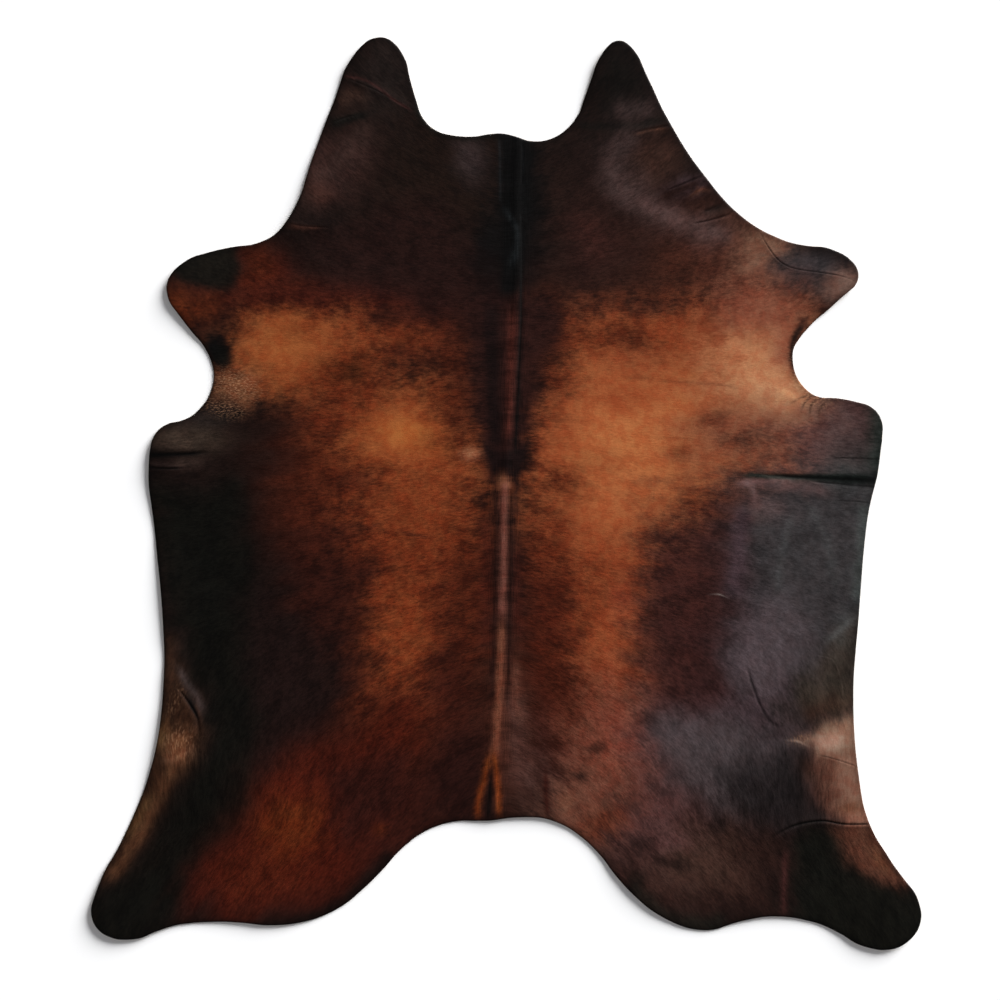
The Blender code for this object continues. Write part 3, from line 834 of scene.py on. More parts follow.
# Lines of colour: tone, strength, half width at the start and end, firmness, route
strokes = {
    "neck stripe": ("soot", 1, 40, 39, 3, [(22, 896), (24, 781), (22, 655)]),
    "neck stripe, lower": ("soot", 0.95, 34, 27, 2, [(22, 674), (17, 588), (5, 467)]),
    "neck stripe, left hem": ("greyHem", 0.5, 4, 3.5, 1, [(-17, 858), (-14, 781), (-14, 699)]),
    "neck stripe, fine line": ("fineGrey", 0.4, 3, 2.5, 1.5, [(41, 839), (41, 752)]),
    # painted grey highlight on the black hair where it curls
    "neck highlight curl": ("mauveHem", 0.5, 6, 12, 1, [
        (-7, 694), (7, 670), (24, 645), (29, 607), (22, 573), (7, 544)]),
    # Left neck: painted sheen band, painted shade in the fold and painted highlight on its lit side.
    "left neck sheen band": ("sheenTaupe", 0.4, 30, 36, 1, [
        (-326, 892), (-372, 824), (-439, 766), (-499, 684)]),
    "left neck fold shade": ("greenBlack", 0.9, 16, 8, 1.5, [(-434, 887), (-391, 899), (-323, 918)]),
    "left neck fold highlight": ("sheenBrown", 0.55, 20, 14, 1, [(-415, 940), (-372, 959), (-328, 950)]),
    "left lobe line": ("roseLine", 0.45, 3.6, 3, 1, [
        (-391, 1005), (-347, 998), (-309, 978), (-268, 947), (-222, 921)]),
    # painted highlight on the lip under the cheek crease
    "left cheek lip highlight": ("roseBrown", 0.22, 6, 4, 1.3, [(-531, 648), (-492, 641), (-430, 641)]),
    "top notch hem": ("notchEdge", 0.7, 14, 10, 1.2, [(-224, 950), (-183, 892), (-111, 863), (-27, 865)]),
    # Right neck: painted sheen on the lobe and along the arc, painted shade in the folds and painted
    # highlight on their lips.
    "right lobe sheen": ("paintedSheenMauve", 0.4, 26, 24, 1, [(251, 918), (314, 930), (372, 921)]),
    "right lobe shade": ("greenBlack", 0.6, 10, 12, 1.5, [
        (159, 892), (227, 884), (304, 887), (391, 904)]),
    "right lobe highlight line": ("tanHair", 0.15, 3.5, 4.5, 1, [(299, 863), (347, 875), (398, 880)]),
    "right neck sheen arc": ("paintedSheenMauve", 0.48, 32, 42, 1, [
        (323, 867), (277, 836), (256, 793), (265, 747), (309, 708), (372, 670), (444, 638), (521, 626)]),
    "right sheen arc, lighter": ("paintedHighlight", 0.58, 20, 30, 1, [(314, 708), (391, 674), (468, 641), (545, 612)]),
    "right sheen arc crown": ("paintedHighlight", 0.15, 14, 16, 1, [(234, 829), (256, 785), (285, 747)]),
    "right neck fold shade": ("umber", 0.8, 8, 12, 1.3, [(362, 708), (420, 732), (475, 756)]),
    "right neck fold highlight": ("tanHair", 0.35, 3.5, 5.5, 1, [(439, 713), (468, 732), (492, 730)]),
    "spine dark, left": ("spineDark", 0.95, 20, 16, 1.8, [
        (-34, 467), (-34, 346), (-31, 226), (-24, 105)]),
    "ridge, shoulder": ("ridgeRose", 0.75, 12, 9, 1, [(14, 452), (12, 358), (10, 226), (5, 129)]),
    "spine dark line": ("soot", 0.75, 5, 5, 1, [(36, 672), (36, 467), (31, 274), (22, 93)]),
    "ridge, loin": ("ridgeMauve", 0.9, 9, 10, 1.2, [(-5, 45), (-5, -16), (-7, -160), (-12, -305)]),
    "ridge, rump": ("ridgeBrown", 0.9, 10, 9, 1.2, [(-12, -305), (-17, -474), (-24, -595), (-27, -643)]),
    "loin chestnut, left": ("chestnutSide", 0.5, 18, 18, 1, [(-48, -52), (-46, -209), (-46, -378)]),
    "loin chestnut, right": ("chestnutSide", 0.5, 12, 16, 1, [(27, -124), (27, -233), (31, -354)]),
    "backbone light": ("tanHair", 0.6, 9, 8, 1, [(-7, 49), (-7, 33), (-7, 16)]),
    "loin dark, left": ("spineDark", 0.45, 9, 8, 1, [(-22, 8), (-24, -160), (-29, -354), (-36, -510)]),
    "loin dark, right": ("spineDark", 0.45, 9, 5, 1, [(12, 8), (12, -160), (7, -354), (5, -527)]),
    "rump sheen": ("rumpGrey", 0.62, 24, 34, 1.2, [(24, -474), (34, -595), (46, -715)]),
    "rump sheen, upper": ("rumpRose", 0.42, 10, 14, 1, [(27, -400), (24, -474), (34, -556)]),
    "tail, left prong": ("tailOrange", 0.62, 7, 8, 1, [
        (-39, -624), (-51, -679), (-65, -740), (-70, -788)]),
    "tail, right prong": ("tailOrange", 0.66, 7, 8, 1, [
        (-31, -614), (-22, -679), (-19, -740), (-17, -783)]),
    "tail slot": ("soot", 0.7, 4, 7, 1, [(-36, -679), (-41, -740), (-43, -793)]),
    "tail line, right": ("maroon", 0.8, 6, 6, 1.5, [(94, -662), (97, -740), (101, -783)]),
    # Right belly: painted highlight on the lit crest of the belly fold and at its corner, painted sheen in
    # arcs over the grey hair, and painted shadow in the fold.
    "right fold highlight": ("paintedFoldHighlight", 0.6, 8, 5, 1.3, [(555, 21), (613, 30), (685, 35), (729, 37)]),
    "right fold corner": ("paintedFoldHighlight", 0.5, 6, 5, 1.3, [(574, 25), (596, 8), (598, -30)]),
    "right belly band": ("bandMauve", 0.75, 24, 28, 1, [(574, -28), (560, -136), (553, -257)]),
    "belly arc, inner": ("paintedEdgeSheen", 0.22, 8, 12, 1, [(690, -45), (668, -132), (652, -247)]),
    "belly arc, outer": ("paintedEdgeSheen", 0.2, 10, 14, 1, [(724, -16), (772, -112), (796, -238)]),
    "belly fold shadow": ("greenEdge", 0.85, 5, 13, 1.6, [(565, 45), (661, 40), (758, 37), (888, 35)]),
    "belly corner highlight, lower": ("paintedHighlight", 0.4, 22, 20, 1, [(746, 98), (820, 110)]),
    "belly corner mauve": ("paintedFoldHighlight", 0.32, 26, 28, 1, [(574, -18), (685, -35)]),
    "belly fold highlight": ("paintedFoldHighlight", 0.4, 9, 14, 1, [(555, 28), (637, 21), (721, 11), (787, 1)]),
    # painted highlight on the lit crest beside the left belly fold
    "left fold highlight": ("foldDusk", 0.7, 12, 16, 1, [(-806, 71), (-763, 74), (-719, 71)]),
    "haunch brown": ("haunchBrown", 0.65, 30, 26, 1, [(709, -542), (758, -520), (818, -496)]),
    # painted highlight on the haunch
    "haunch highlight": ("haunchPale", 0.42, 15, 22, 1, [(734, -595), (777, -600), (820, -585)]),
    "haunch corner": ("haunchBrown", 0.55, 16, 20, 1, [(714, -624), (724, -655), (743, -701)]),
    "shank corner": ("bark", 0.6, 16, 14, 1, [(796, -761), (830, -759), (869, -754)]),
    "shank tip": ("bark", 0.5, 14, 14, 1, [(878, -851), (902, -884), (931, -918)]),
    # painted sheen on the flank edge
    "flank grey": ("paintedEdgeSheen", 0.22, 20, 18, 1, [(813, -262), (808, -329), (801, -378)]),
    "left hock olive": ("shankOlive", 0.75, 18, 14, 1, [(-828, -547), (-835, -583), (-835, -619)]),
    "left shank olive": ("shankOlive", 0.6, 15, 20, 1, [(-854, -720), (-878, -764), (-917, -831)]),
    # lighter painted sheen on the haunch
    "haunch slate, lighter sheen": ("paintedSlateSheen", 0.35, 30, 30, 1, [(352, -561), (420, -573), (487, -576)]),
    "haunch thread": ("haunchPale", 0.3, 3, 3, 1, [(676, -595), (702, -597), (729, -609)]),
    "armpit crack, one": ("crackBrown", 0.85, 3.6, 2.6, 1, [(709, 194), (724, 223), (753, 245)]),
    "armpit crack, two": ("crackBrown", 0.85, 3.6, 2.6, 1, [(731, 185), (738, 216), (765, 235)]),
    "armpit crack, three": ("crackBrown", 0.85, 3.6, 2.6, 1, [(753, 177), (758, 206), (779, 226)]),
    "armpit crack, four": ("crackBrown", 0.85, 3.6, 2.6, 1, [(683, 216), (709, 230), (741, 240)]),
    # painted highlight at the belly corner, and painted sheen along the right belly edge
    "belly corner highlight": ("paintedHighlight", 0.55, 14, 20, 1, [(746, 115), (801, 153), (849, 182)]),
    "right edge streak": ("paintedEdgeSheen", 0.45, 7, 12, 1, [(772, -356), (811, -325), (849, -291)]),
    "right belly edge": ("bellyEdgeSheen", 0.75, 22, 18, 1.3, [(874, -16), (861, -160), (849, -271)]),
    # painted highlight along the left flank crease, and painted shadow in it
    "left hock highlight": ("hockGrey", 0.4, 7, 9, 1, [
        (-796, -411), (-767, -460), (-741, -498), (-729, -537)]),
    "left hock crease shadow": ("soot", 0.9, 10, 3, 1.5, [(-772, -479), (-755, -513), (-738, -551)]),
    "left hock pale streak": ("taupe", 0.35, 8, 8, 1.3, [(-835, -648), (-791, -636), (-748, -607)]),
    "thread, left loin": ("maroonBlack", 0.45, 5, 4, 1, [(-343, -83), (-319, -78), (-294, -66)]),
    "thread, left loin, inner": ("maroonBlack", 0.45, 5, 5, 1, [(-263, -90), (-222, -100), (-174, -107)]),
    "thread, left waist": ("maroonBlack", 0.35, 4, 3.5, 1, [(-458, 129), (-430, 141), (-388, 139)]),
    "thread, right chest": ("maroon", 0.25, 4, 4, 1, [(360, 271), (444, 267), (516, 262), (569, 252)]),
    "thread, right chest, upper": ("maroon", 0.3, 6, 5, 1, [(280, 281), (323, 279), (360, 276)]),
    "thread, right waist": ("maroon", 0.2, 3, 3, 1, [(360, 134), (420, 134), (468, 129)]),
    "pale hair, flank": ("hairPale", 0.4, 1.6, 1.3, 1, [(490, -243), (512, -243), (536, -252)]),
    "right armpit light": ("paleTan", 0.6, 6, 8, 1, [(647, 264), (676, 245), (714, 223)]),
    "left hock tan": ("tanHair", 0.45, 26, 20, 1.3, [(-772, -571), (-787, -614), (-804, -653)]),
    # painted shade along the armpit edge
    "right armpit rim shade": ("blackBrown", 0.9, 9, 9, 1.2, [
        (724, 421), (697, 378), (691, 341), (700, 305), (721, 274)]),
    "left hock brown": ("bark", 0.5, 16, 16, 1.2, [
        (-801, -648), (-835, -730), (-883, -822), (-927, -889), (-960, -933)]),
    "left hem dark": ("blackBrown", 0.85, 14, 22, 1.3, [
        (-589, -1044), (-497, -1034), (-388, -981), (-316, -913), (-265, -860)]),
    "right shank streak": ("roseLine", 0.5, 7, 7, 1, [(673, -851), (671, -933), (668, -1019)]),
    "right shank slot": ("blackBrown", 0.5, 8, 8, 1.5, [(649, -933), (649, -1019)]),
    "right hem dark": ("notchEdge", 0.7, 22, 26, 1.3, [
        (299, -942), (372, -1010), (468, -1041), (541, -1024)]),
}
patching = {
    # metres that a border strays, the size of the bends, seeds
    "wander": (0.04, 0.09, (1, 3)),
    "ragged": (0.018, 0.03, (2, 4)),
    "streaky": (0.07, 0.13, 0.02, 5),  # along the hair: how far, bend length and width, seed
    "patchGrowth": (1.13, 0.9),  # sizes in the coat of its own lightness, and in the other
    "fieldGrowth": (0.003, -0.003),  # the same for fields and lines, in metres
    "strokeGrowth": (0.00045, -0.00045),
    "lightTone": 0.11,  # red, green and blue of a light tone add up to more
    "steady": 140.0,  # mm: patches smaller than this keep their place better
    "steadyField": (0.12, 40.0),  # at least this share of the bends, and all of them past this softness
    "steadyStroke": 60.0,
    "fieldStray": 0.5,
    "fieldStep": 0.006,
    "fieldReach": (0.03, 2.0),  # metres felt past the border, and times its softness
    "strokeReach": (0.01, 2.2),
    "strokeFade": 0.03,  # metres over which a line comes in, from this share
    "strokeEnd": 0.15,
    "falloff": 0.9,
    "frostFirmness": 1.4,
    "gains": (0.935, 0.73),  # on the light coat and the dark one
    "contrast": 0.2,
    "middle": 0.06,
    "brightness": (0.3, 0.59, 0.11),
}


def softNoise(x, y, seed):
    # value noise from a square table, about -0.5 to 0.5
    size = 64
    table = np.random.default_rng(seed).random((size, size))
    xi, yi = np.floor(x).astype(int), np.floor(y).astype(int)
    u, v = x - xi, y - yi
    u, v = u * u * (3 - 2 * u), v * v * (3 - 2 * v)
    left, right, bottom, top = xi % size, (xi + 1) % size, yi % size, (yi + 1) % size
    low = table[bottom, left] * (1 - u) + table[bottom, right] * u
    high = table[top, left] * (1 - u) + table[top, right] * u
    return low * (1 - v) + high * v - 0.5


# Pale hairs scattered through it: across, along, reach across, reach along, turn, share
frosts = [
    (-652, 259, 58, 34, -15, 1),
    (-676, 206, 48, 22, -10, 0.7),
    (-787, -604, 34, 39, 0, 0.6),
    (-796, -498, 14, 39, -25, 0.3),
    (709, -592, 29, 10, 12, 0.6),
    (801, -566, 43, 24, 0, 0.3),
    (719, 245, 63, 34, -25, 1),
    (676, 293, 48, 63, 0, 0.35),
    (-87, 95, 22, 14, 0, 0.5),
]
strokeLines = [drawnLine(row[-1]) for row in strokes.values()]


def bends(points, reach, size, seeds):
    # a stray across and along for each point
    x, y = points.T / size
    return np.column_stack([reach * softNoise(x, y, seed) for seed in seeds])


def ovalAt(points, across, along, reachX, reachY, turn):
    # squared distance from the middle of an oval, which is 1 on its rim
    angle = math.radians(turn)
    dx, dy = (points - np.array((across, along)) / 1000).T * 1000
    u = (dx * math.cos(angle) + dy * math.sin(angle)) / reachX
    v = (dy * math.cos(angle) - dx * math.sin(angle)) / reachY
    return u ** 2 + v ** 2


def layTone(coats, near, colour, amounts):
    # the first amount is for the coat of the tone's own lightness
    target = np.array(linear(palette[colour]))
    if target.sum() <= patching["lightTone"]:
        amounts = amounts[::-1]
    for coat, amount in zip(coats, amounts):
        coat[near] += (target - coat[near]) * amount[:, None]


def paintCoat(points):
    # the colours as seen on the light hairs, and on the dark ones
    alongHair, acrossHair, slope = hairFlow(points)
    reach, long, wide, seed = patching["streaky"]
    streaky = reach * softNoise(alongHair / long, acrossHair / wide, seed)
    stray = bends(points, *patching["wander"])
    stray += np.column_stack([streaky, -streaky * slope * np.sign(points[:, 0])])
    ragged = bends(points, *patching["ragged"])
    coats = [np.tile(np.array(linear(palette[ground])), (len(points), 1)) for i in range(2)]
    for colour, across, along, reachX, reachY, turn, strength, firmness in patches.values():
        share = min(1.0, min(reachX, reachY) / patching["steady"])
        oval = ovalAt(points + (stray + ragged) * share, across, along, reachX, reachY, turn)
        layTone(coats, slice(None), colour,
                [strength * np.exp(-patching["falloff"] * (oval / size ** 2) ** firmness)
                 for size in patching["patchGrowth"]])
    reach, times = patching["fieldReach"]
    least, full = patching["steadyField"]
    for colour, strength, softness, route in fields.values():
        ring = drawnLine(route, True, patching["fieldStep"])
        near = nearLine(points, ring, reach + times * softness / 1000)
        share = min(1.0, least + softness / full)
        moved = points[near] + (stray[near] * patching["fieldStray"] + ragged[near]) * share
        distance = distanceTo(moved, ring, closed=True)[0]
        depth = np.where(insideRing(moved, ring), distance, -distance)
        layTone(coats, near, colour,
                [strength * (0.5 + 0.5 * np.tanh((depth + grown) * 1000 / softness))
                 for grown in patching["fieldGrowth"]])
    reach, times = patching["strokeReach"]
    for row, line in zip(strokes.values(), strokeLines):
        colour, strength, widthStart, widthEnd, firmness, route = row
        widest = max(widthStart, widthEnd)
        near = nearLine(points, line, reach + times * widest / 1000)
        moved = points[near] + ragged[near] * min(1.0, widest / patching["steadyStroke"])
        distance, side, along = distanceTo(moved, line, closed=False)
        length = walked(line)[-1]
        toEnd = np.minimum(along, length - along)
        fade = np.clip(toEnd / patching["strokeFade"] + patching["strokeEnd"], 0, 1)
        width = (widthStart + (widthEnd - widthStart) * along / length) / 1000
        layTone(coats, near, colour,
                [strength * fade * np.exp(-((distance / (width + grown)) ** 2) ** firmness)
                 for grown in patching["strokeGrowth"]])
    for coat, gain in zip(coats, patching["gains"]):
        level = coat @ np.array(patching["brightness"])
        coat *= gain * ((level / patching["middle"]) ** patching["contrast"])[:, None]
    return coats


def frostAt(points):
    share = np.zeros(len(points))
    for across, along, reachX, reachY, turn, strength in frosts:
        oval = ovalAt(points, across, along, reachX, reachY, turn)
        pale = strength * np.exp(-patching["falloff"] * oval ** patching["frostFirmness"])
        share = np.maximum(share, pale)
    return share


# How the hair lies: from the backbone outwards and back, more steeply on the haunches.
flow = {
    "along": [-1.1, -0.8, -0.6, -0.35, -0.1, 0.2, 0.4, 0.6, 0.8, 1.1],
    "slope": [0.9, 0.75, 0.5, 0.24, 0.12, 0.06, 0.0, -0.15, -0.4, -0.7],
    "parting": 0.03,  # metres over which the two sides blend at the backbone
}


def hairFlow(points):
    # metres along the hair, metres across it, and its slope
    x, y = points[:, 0], points[:, 1]
    slope = np.interp(y, flow["along"], flow["slope"])
    away = np.sqrt(x ** 2 + flow["parting"] ** 2) - flow["parting"]
    return away * np.sqrt(1 + slope ** 2) * np.where(x < 0, -1, 1), y + slope * away, slope


def combedShare(points):
    # 1 on the backbone, where the hair lies straight down it, to 0 beside it
    return bell(distanceTo(points, backboneLine, closed=False)[0] * 1000 / backbone["combed"])


# Meshes. The hair side is fine, and everything under it shares a coarser net of points.
net = {
    "hairStep": 0.0079,
    "skinStep": 0.0132,
    "scatter": 0.04,  # of a step
    "seed": 3,
    "creaseRows": [0.0, 1.5, 3.2, 5.6, 8.6],  # mm each side of a crease
    "strokeRows": [0.0, 1.8, 4.2],  # and of a narrow line of colour
    "rimRows": [1.3, 3.2, 5.8],  # mm inside the outline
    "narrow": 11,  # mm
    "besideRows": 3.6,  # mm between the last row and the even points
    # metres that points keep clear of the outline, and of each other
    "hairClear": 0.0095,
    "skinClear": 0.007,
    "rowClear": 0.0075,
    "rowGap": 0.0012,
    "rimClear": 0.0011,
    "rimGap": 0.001,
    "sameSpot": 1e-7,
    "flatFace": 1e-12,
    "skin": 0.0017,
    "hair": 0.0024,
    "leastHair": 0.0004,
    "rimDrop": 0.0019,
    "rimRoll": 0.006,
    "underHair": 0.00005,
    "lockLift": 0.0005,
    "locks": [(0.05, 0.014, 1.0, 11), (0.03, 0.008, 0.5, 12)],  # long, wide, share, seed
    # painted shade along the outline where the hair rolls over, and how much the painted highlight on
    # crease lips brightens the colour
    "edgeShade": 0.45,
    "edgeShadeReach": 0.009,
    "shineGain": 0.8,
    "shineLift": 0.006,
}


def runsAnticlockwise(ring):
    x, y = ring.T
    return (x * np.roll(y, -1) - np.roll(x, -1) * y).sum() > 0


def edgeNormals():
    run = np.roll(outline, -1, axis=0) - np.roll(outline, 1, axis=0)
    run /= np.linalg.norm(run, axis=1)[:, None]
    return np.column_stack([run[:, 1], -run[:, 0]]) * (1 if runsAnticlockwise(outline) else -1)


outward = edgeNormals()


def wellInside(points, clear):
    points = points[insideRing(points, outline)]
    return points[toOutline(points) > clear]


def lattice(step, clear, holes=()):
    # evenly spread points inside the outline, kept clear of it and of the crease rows
    xs = np.arange(cadBox[0].x, cadBox[1].x, step)
    ys = np.arange(cadBox[0].y, cadBox[1].y, step * math.sqrt(0.75))
    x, y = np.meshgrid(xs, ys)
    x[1::2] += step / 2
    points = np.column_stack([x.ravel(), y.ravel()])
    draw = np.random.default_rng(net["seed"])
    points += draw.uniform(-net["scatter"], net["scatter"], points.shape) * step
    points = wellInside(points, clear)
    for line, gap in holes:
        near = nearLine(points, line, gap)
        distance = distanceTo(points[near], line, closed=False)[0]
        points = np.delete(points, near[distance < gap], axis=0)
    return points


def thin(points, gap):
    # drops a point that lies closer than the gap to one before it
    kept = {}
    answer = []
    for x, y in points:
        cell = (int(math.floor(x / gap)), int(math.floor(y / gap)))
        around = ((cell[0] + i, cell[1] + j) for i in (-1, 0, 1) for j in (-1, 0, 1))
        if all(math.dist((x, y), kept[c]) > gap for c in around if c in kept):
            kept[cell] = (x, y)
            answer.append((x, y))
    return np.array(answer)


def triangulate(inner):
    # the outline's points come first, then the inner ones
    points = np.vstack([outline, inner])
    count = len(outline)
    rim = [(i, (i + 1) % count) for i in range(count)]
    answer = geometry.delaunay_2d_cdt([Vector(p) for p in points], rim, [], 0, net["sameSpot"])
    found = np.array([v[:] for v in answer[0]])
    faces = np.array(answer[2])
    faces = faces[insideRing(found[faces].mean(axis=1), outline)]
    a, b, c = found[faces].transpose(1, 2, 0)
    area = (b[0] - a[0]) * (c[1] - a[1]) - (b[1] - a[1]) * (c[0] - a[0])
    faces[area < 0] = faces[area < 0][:, ::-1]
    return found, faces[np.abs(area) > net["flatFace"]]


def hairNet():
    # rows of points beside the creases, the narrow lines of colour and the rim, and even points between
    lines = [(line, net["creaseRows"]) for line in creaseLines + [backboneLine]]
    for row, line in zip(strokes.values(), strokeLines):
        colour, strength, widthStart, widthEnd, firmness, route = row
        if min(widthStart, widthEnd) < net["narrow"]:
            lines.append((line, net["strokeRows"]))
    rows = []
    for line, offsets in lines:
        run = np.gradient(line, axis=0)
        run /= np.linalg.norm(run, axis=1)[:, None]
        across = np.column_stack([-run[:, 1], run[:, 0]])
        for offset in offsets:
            for sign in ((1, -1) if offset else (1,)):
                rows.append(line + across * sign * offset / 1000)
    rows = thin(wellInside(np.vstack(rows), net["rowClear"]), net["rowGap"])
    holes = [(line, (offsets[-1] + net["besideRows"]) / 1000) for line, offsets in lines]
    inner = lattice(net["hairStep"], net["hairClear"], holes)
    rims = np.vstack([outline - outward * inset / 1000 for inset in net["rimRows"]])
    rims = thin(rims[toOutline(rims) > net["rimClear"]], net["rimGap"])
    return triangulate(np.vstack([rims, rows, inner]))


def coatTopAt(points):
    # height of the hair side, which rolls over at the outline, with the creases' darkening (partly painted
    # shade) and painted highlight
    lift, shade, shine = pressCreases(points)
    roll = np.sqrt(np.clip(1 - (1 - np.clip(toOutline(points) / net["rimRoll"], 0, 1)) ** 2, 0, 1))
    along, across, slope = hairFlow(points)
    locks = sum(share * softNoise(along / long, across / wide, seed)
                for long, wide, share, seed in net["locks"])
    top = net["hair"] - net["rimDrop"] * (1 - roll) + (net["lockLift"] * locks + lift) * roll
    return heightAt(points) + net["skin"] + np.maximum(top, net["leastHair"]), shade * roll, shine * roll


def newObject(name, points, faces, material):
    mesh = bpy.data.meshes.new(name)
    mesh.from_pydata([tuple(p) for p in points.tolist()], [], faces)
    mesh.validate()
    obj = bpy.data.objects.new(name, mesh)
    scene.collection.objects.link(obj)
    mesh.materials.append(material)
    mesh.shade_smooth()
    return obj


def writeAttribute(obj, name, kind, values):
    layer = obj.data.attributes.new(name, kind, "POINT")
    if kind == "FLOAT_COLOR":
        values = np.column_stack([values, np.ones(len(values))])
    field = {"FLOAT": "value", "FLOAT_VECTOR": "vector", "FLOAT_COLOR": "color"}[kind]
    layer.data.foreach_set(field, values.astype(np.float32).ravel())


bakeMap = {
    "half": 1.12,  # metres from the middle to the side of the map
    "border": 0.001,
    "copy": 0.1,  # hidden faces get a small copy of the plan in a free corner
    "copyAt": (0.95, 0.98),
    "wallReach": 0.006,
}


def layFlat(obj, places):
    # a bake map seen from above: one place, in metres, for each corner of a face
    layer = obj.data.uv_layers.new(name="OFBake")
    flat = (places + bakeMap["half"]) / (2 * bakeMap["half"])
    flat = np.clip(flat, bakeMap["border"], 1 - bakeMap["border"])
    layer.data.foreach_set("uv", flat.astype(np.float32).ravel())


def cornerVertices(obj):
    index = np.empty(len(obj.data.loops), np.int32)
    obj.data.loops.foreach_get("vertex_index", index)
    return index


def tucked(points):
    return points * bakeMap["copy"] + np.array(bakeMap["copyAt"])


# The hair: soft mottle and clumps of lying hair between the two coats, streaks, speckle and pale flecks.
hairLook = {
    # noises that lie along the hair: long and wide in metres, detail, shift
    "mottle": (0.062, 0.042, 4.0, 5.9),
    "clumps": (0.03, 0.015, 3.0, 3.1),
    "streaks": (0.016, 0.0046, 2.0, 7.7),
    "fine": (0.009, 0.002, 1.0, 1.3),
    "dashes": (0.022, 0.0026, 1.0, 6.1),
    "flecks": (0.007, 0.0026, 1.0, 4.4),
    "downBack": (0.0032, 0.05, 2.0, 2.9),  # the streaks on the backbone
    "shiftAcross": 0.7,  # of the shift along
    "strandRoughness": 0.55,
    # noises that lie no way: turns to the metre, detail, roughness
    "speckle": (420.0, 2.0, 0.6),
    "dapple": (32.0, 5.0, 0.68),
    # how much of each goes into the choice of coat, the lightness and the relief
    "choice": {"mottle": 0.5, "clumps": 0.3, "streaks": 0.2},
    "swing": {"clumps": 0.3, "dashes": 0.1, "streaks": 0.15, "fine": 0.15, "speckle": 0.8},
    "relief": {"streaks": 0.6, "fine": 0.3, "speckle": 0.1},
    # where each starts to show and where it is full
    "combedFrom": (0.25, 0.75),
    "brightFrom": (0.008, 0.11),
    "lightCoatFrom": (0.38, 0.60),
    "dappleFrom": (0.37, 0.62),
    "warmFrom": (0.0, 0.12),  # red less blue: none on grey hair, full on honey
    "dashesFrom": (0.54, 0.70),
    "streaksFrom": (0.36, 0.64),
    "fineFrom": (0.38, 0.62),
    "flecksFrom": (0.46, 0.70),
    "deepTones": [(0.7, 0.7, 0.7, 1), (1.3, 1.28, 1.26, 1)],  # on the dark coat, from black hair to bright
    "dappleTones": [(0.94, 0.80, 0.76, 1), (1.04, 1.12, 1.12, 1)],
    "dappleShare": (0.75, 0.25),  # by warmth, and everywhere
    "swingByDark": (2.05, 1.35),  # on black hair, and how much less on bright
    "swingByWarm": (0.35, 0.65),
    "darkest": 0.3,  # of a hair's own tone
    "fleckTone": "b08262",
    "fleckShare": 0.4,
    "bump": {"Strength": 0.35, "Distance": 0.0012},
    "roughness": (0.14, 0.42),  # how much it varies, and its least
    "surface": {"Specular IOR Level": 0.06},
}


def makeHairMaterial():
    material = bpy.data.materials.new("cowHair")
    wire = emptyTree(material)

    def stored(name, output=0):
        return wire.add("ShaderNodeAttribute", {"attribute_name": name}, output=output)

    light = stored("lightCoat")
    lying = stored("hairFlow", 1)
    plan = wire.add("ShaderNodeTexCoord", output=3)

    def strands(name, place=lying):
        long, wide, detail, shift = hairLook[name]
        moved = (shift, shift * hairLook["shiftAcross"], 0)
        mapping = {"Vector": place, "Location": moved, "Scale": (1 / long, 1 / wide, 1)}
        stretched = wire.add("ShaderNodeMapping", {"vector_type": "POINT"}, mapping)
        return noise(wire, stretched, 1.0, detail, hairLook["strandRoughness"])

    def ranged(value, name):
        return value.within(*hairLook[name + "From"])

    def channel(output):
        return wire.add("ShaderNodeSeparateColor", inputs={0: light}, output=output)

    clumps = strands("clumps")
    fine = strands("fine")
    speckle = noise(wire, plan, *hairLook["speckle"])
    combed = ranged(wire.add("ShaderNodeSeparateXYZ", inputs={0: lying}, output=2), "combed")
    streaks = strands("streaks") * (1 - combed) + strands("downBack", plan) * combed

    # the light coat shows in some locks and the dark coat in others
    bright = ranged(wire.add("ShaderNodeRGBToBW", inputs={0: light}), "bright")
    share = hairLook["choice"]
    choice = strands("mottle") * share["mottle"] + clumps * share["clumps"] + streaks * share["streaks"]
    deep = wire.mix(1.0, stored("darkCoat"), wire.mix(bright, *hairLook["deepTones"]), "MULTIPLY")
    coat = wire.mix(ranged(choice, "lightCoat"), deep, light)
    dapple = ranged(noise(wire, plan, *hairLook["dapple"]), "dapple")
    warm = ranged(channel(0) - channel(2), "warm")
    byWarmth, everywhere = hairLook["dappleShare"]
    tint = wire.mix(dapple, *hairLook["dappleTones"])
    coat = wire.mix(warm * byWarmth + everywhere, coat, tint, "MULTIPLY")

    # lightness from lock to lock and from hair to hair
    share = hairLook["swing"]
    level = (clumps - 0.5) * share["clumps"] - ranged(strands("dashes"), "dashes") * share["dashes"]
    level = level + (ranged(streaks, "streaks") - 0.5) * share["streaks"]
    level = level + (ranged(fine, "fine") - 0.5) * share["fine"] + (speckle - 0.5) * share["speckle"]
    onBlack, lessOnBright = hairLook["swingByDark"]
    byWarmth, everywhere = hairLook["swingByWarm"]
    level = level * (onBlack - bright * lessOnBright) * (warm * byWarmth + everywhere) + 1.0
    coat = wire.mix(1.0, coat, grey(wire, wire.maths("MAXIMUM", level, hairLook["darkest"])), "MULTIPLY")
    flecks = ranged(strands("flecks"), "flecks") * stored("frost", 2) * hairLook["fleckShare"]
    coat = wire.mix(flecks, coat, (*linear(hairLook["fleckTone"]), 1))
    share = hairLook["relief"]
    relief = streaks * share["streaks"] + fine * share["fine"] + speckle * share["speckle"]
    swing, least = hairLook["roughness"]
    look = {"Base Color": coat, "Roughness": fine * swing + least, **hairLook["surface"],
            "Normal": wire.add("ShaderNodeBump", inputs={**hairLook["bump"], "Height": relief})}
    return finishMaterial(material, wire, look)


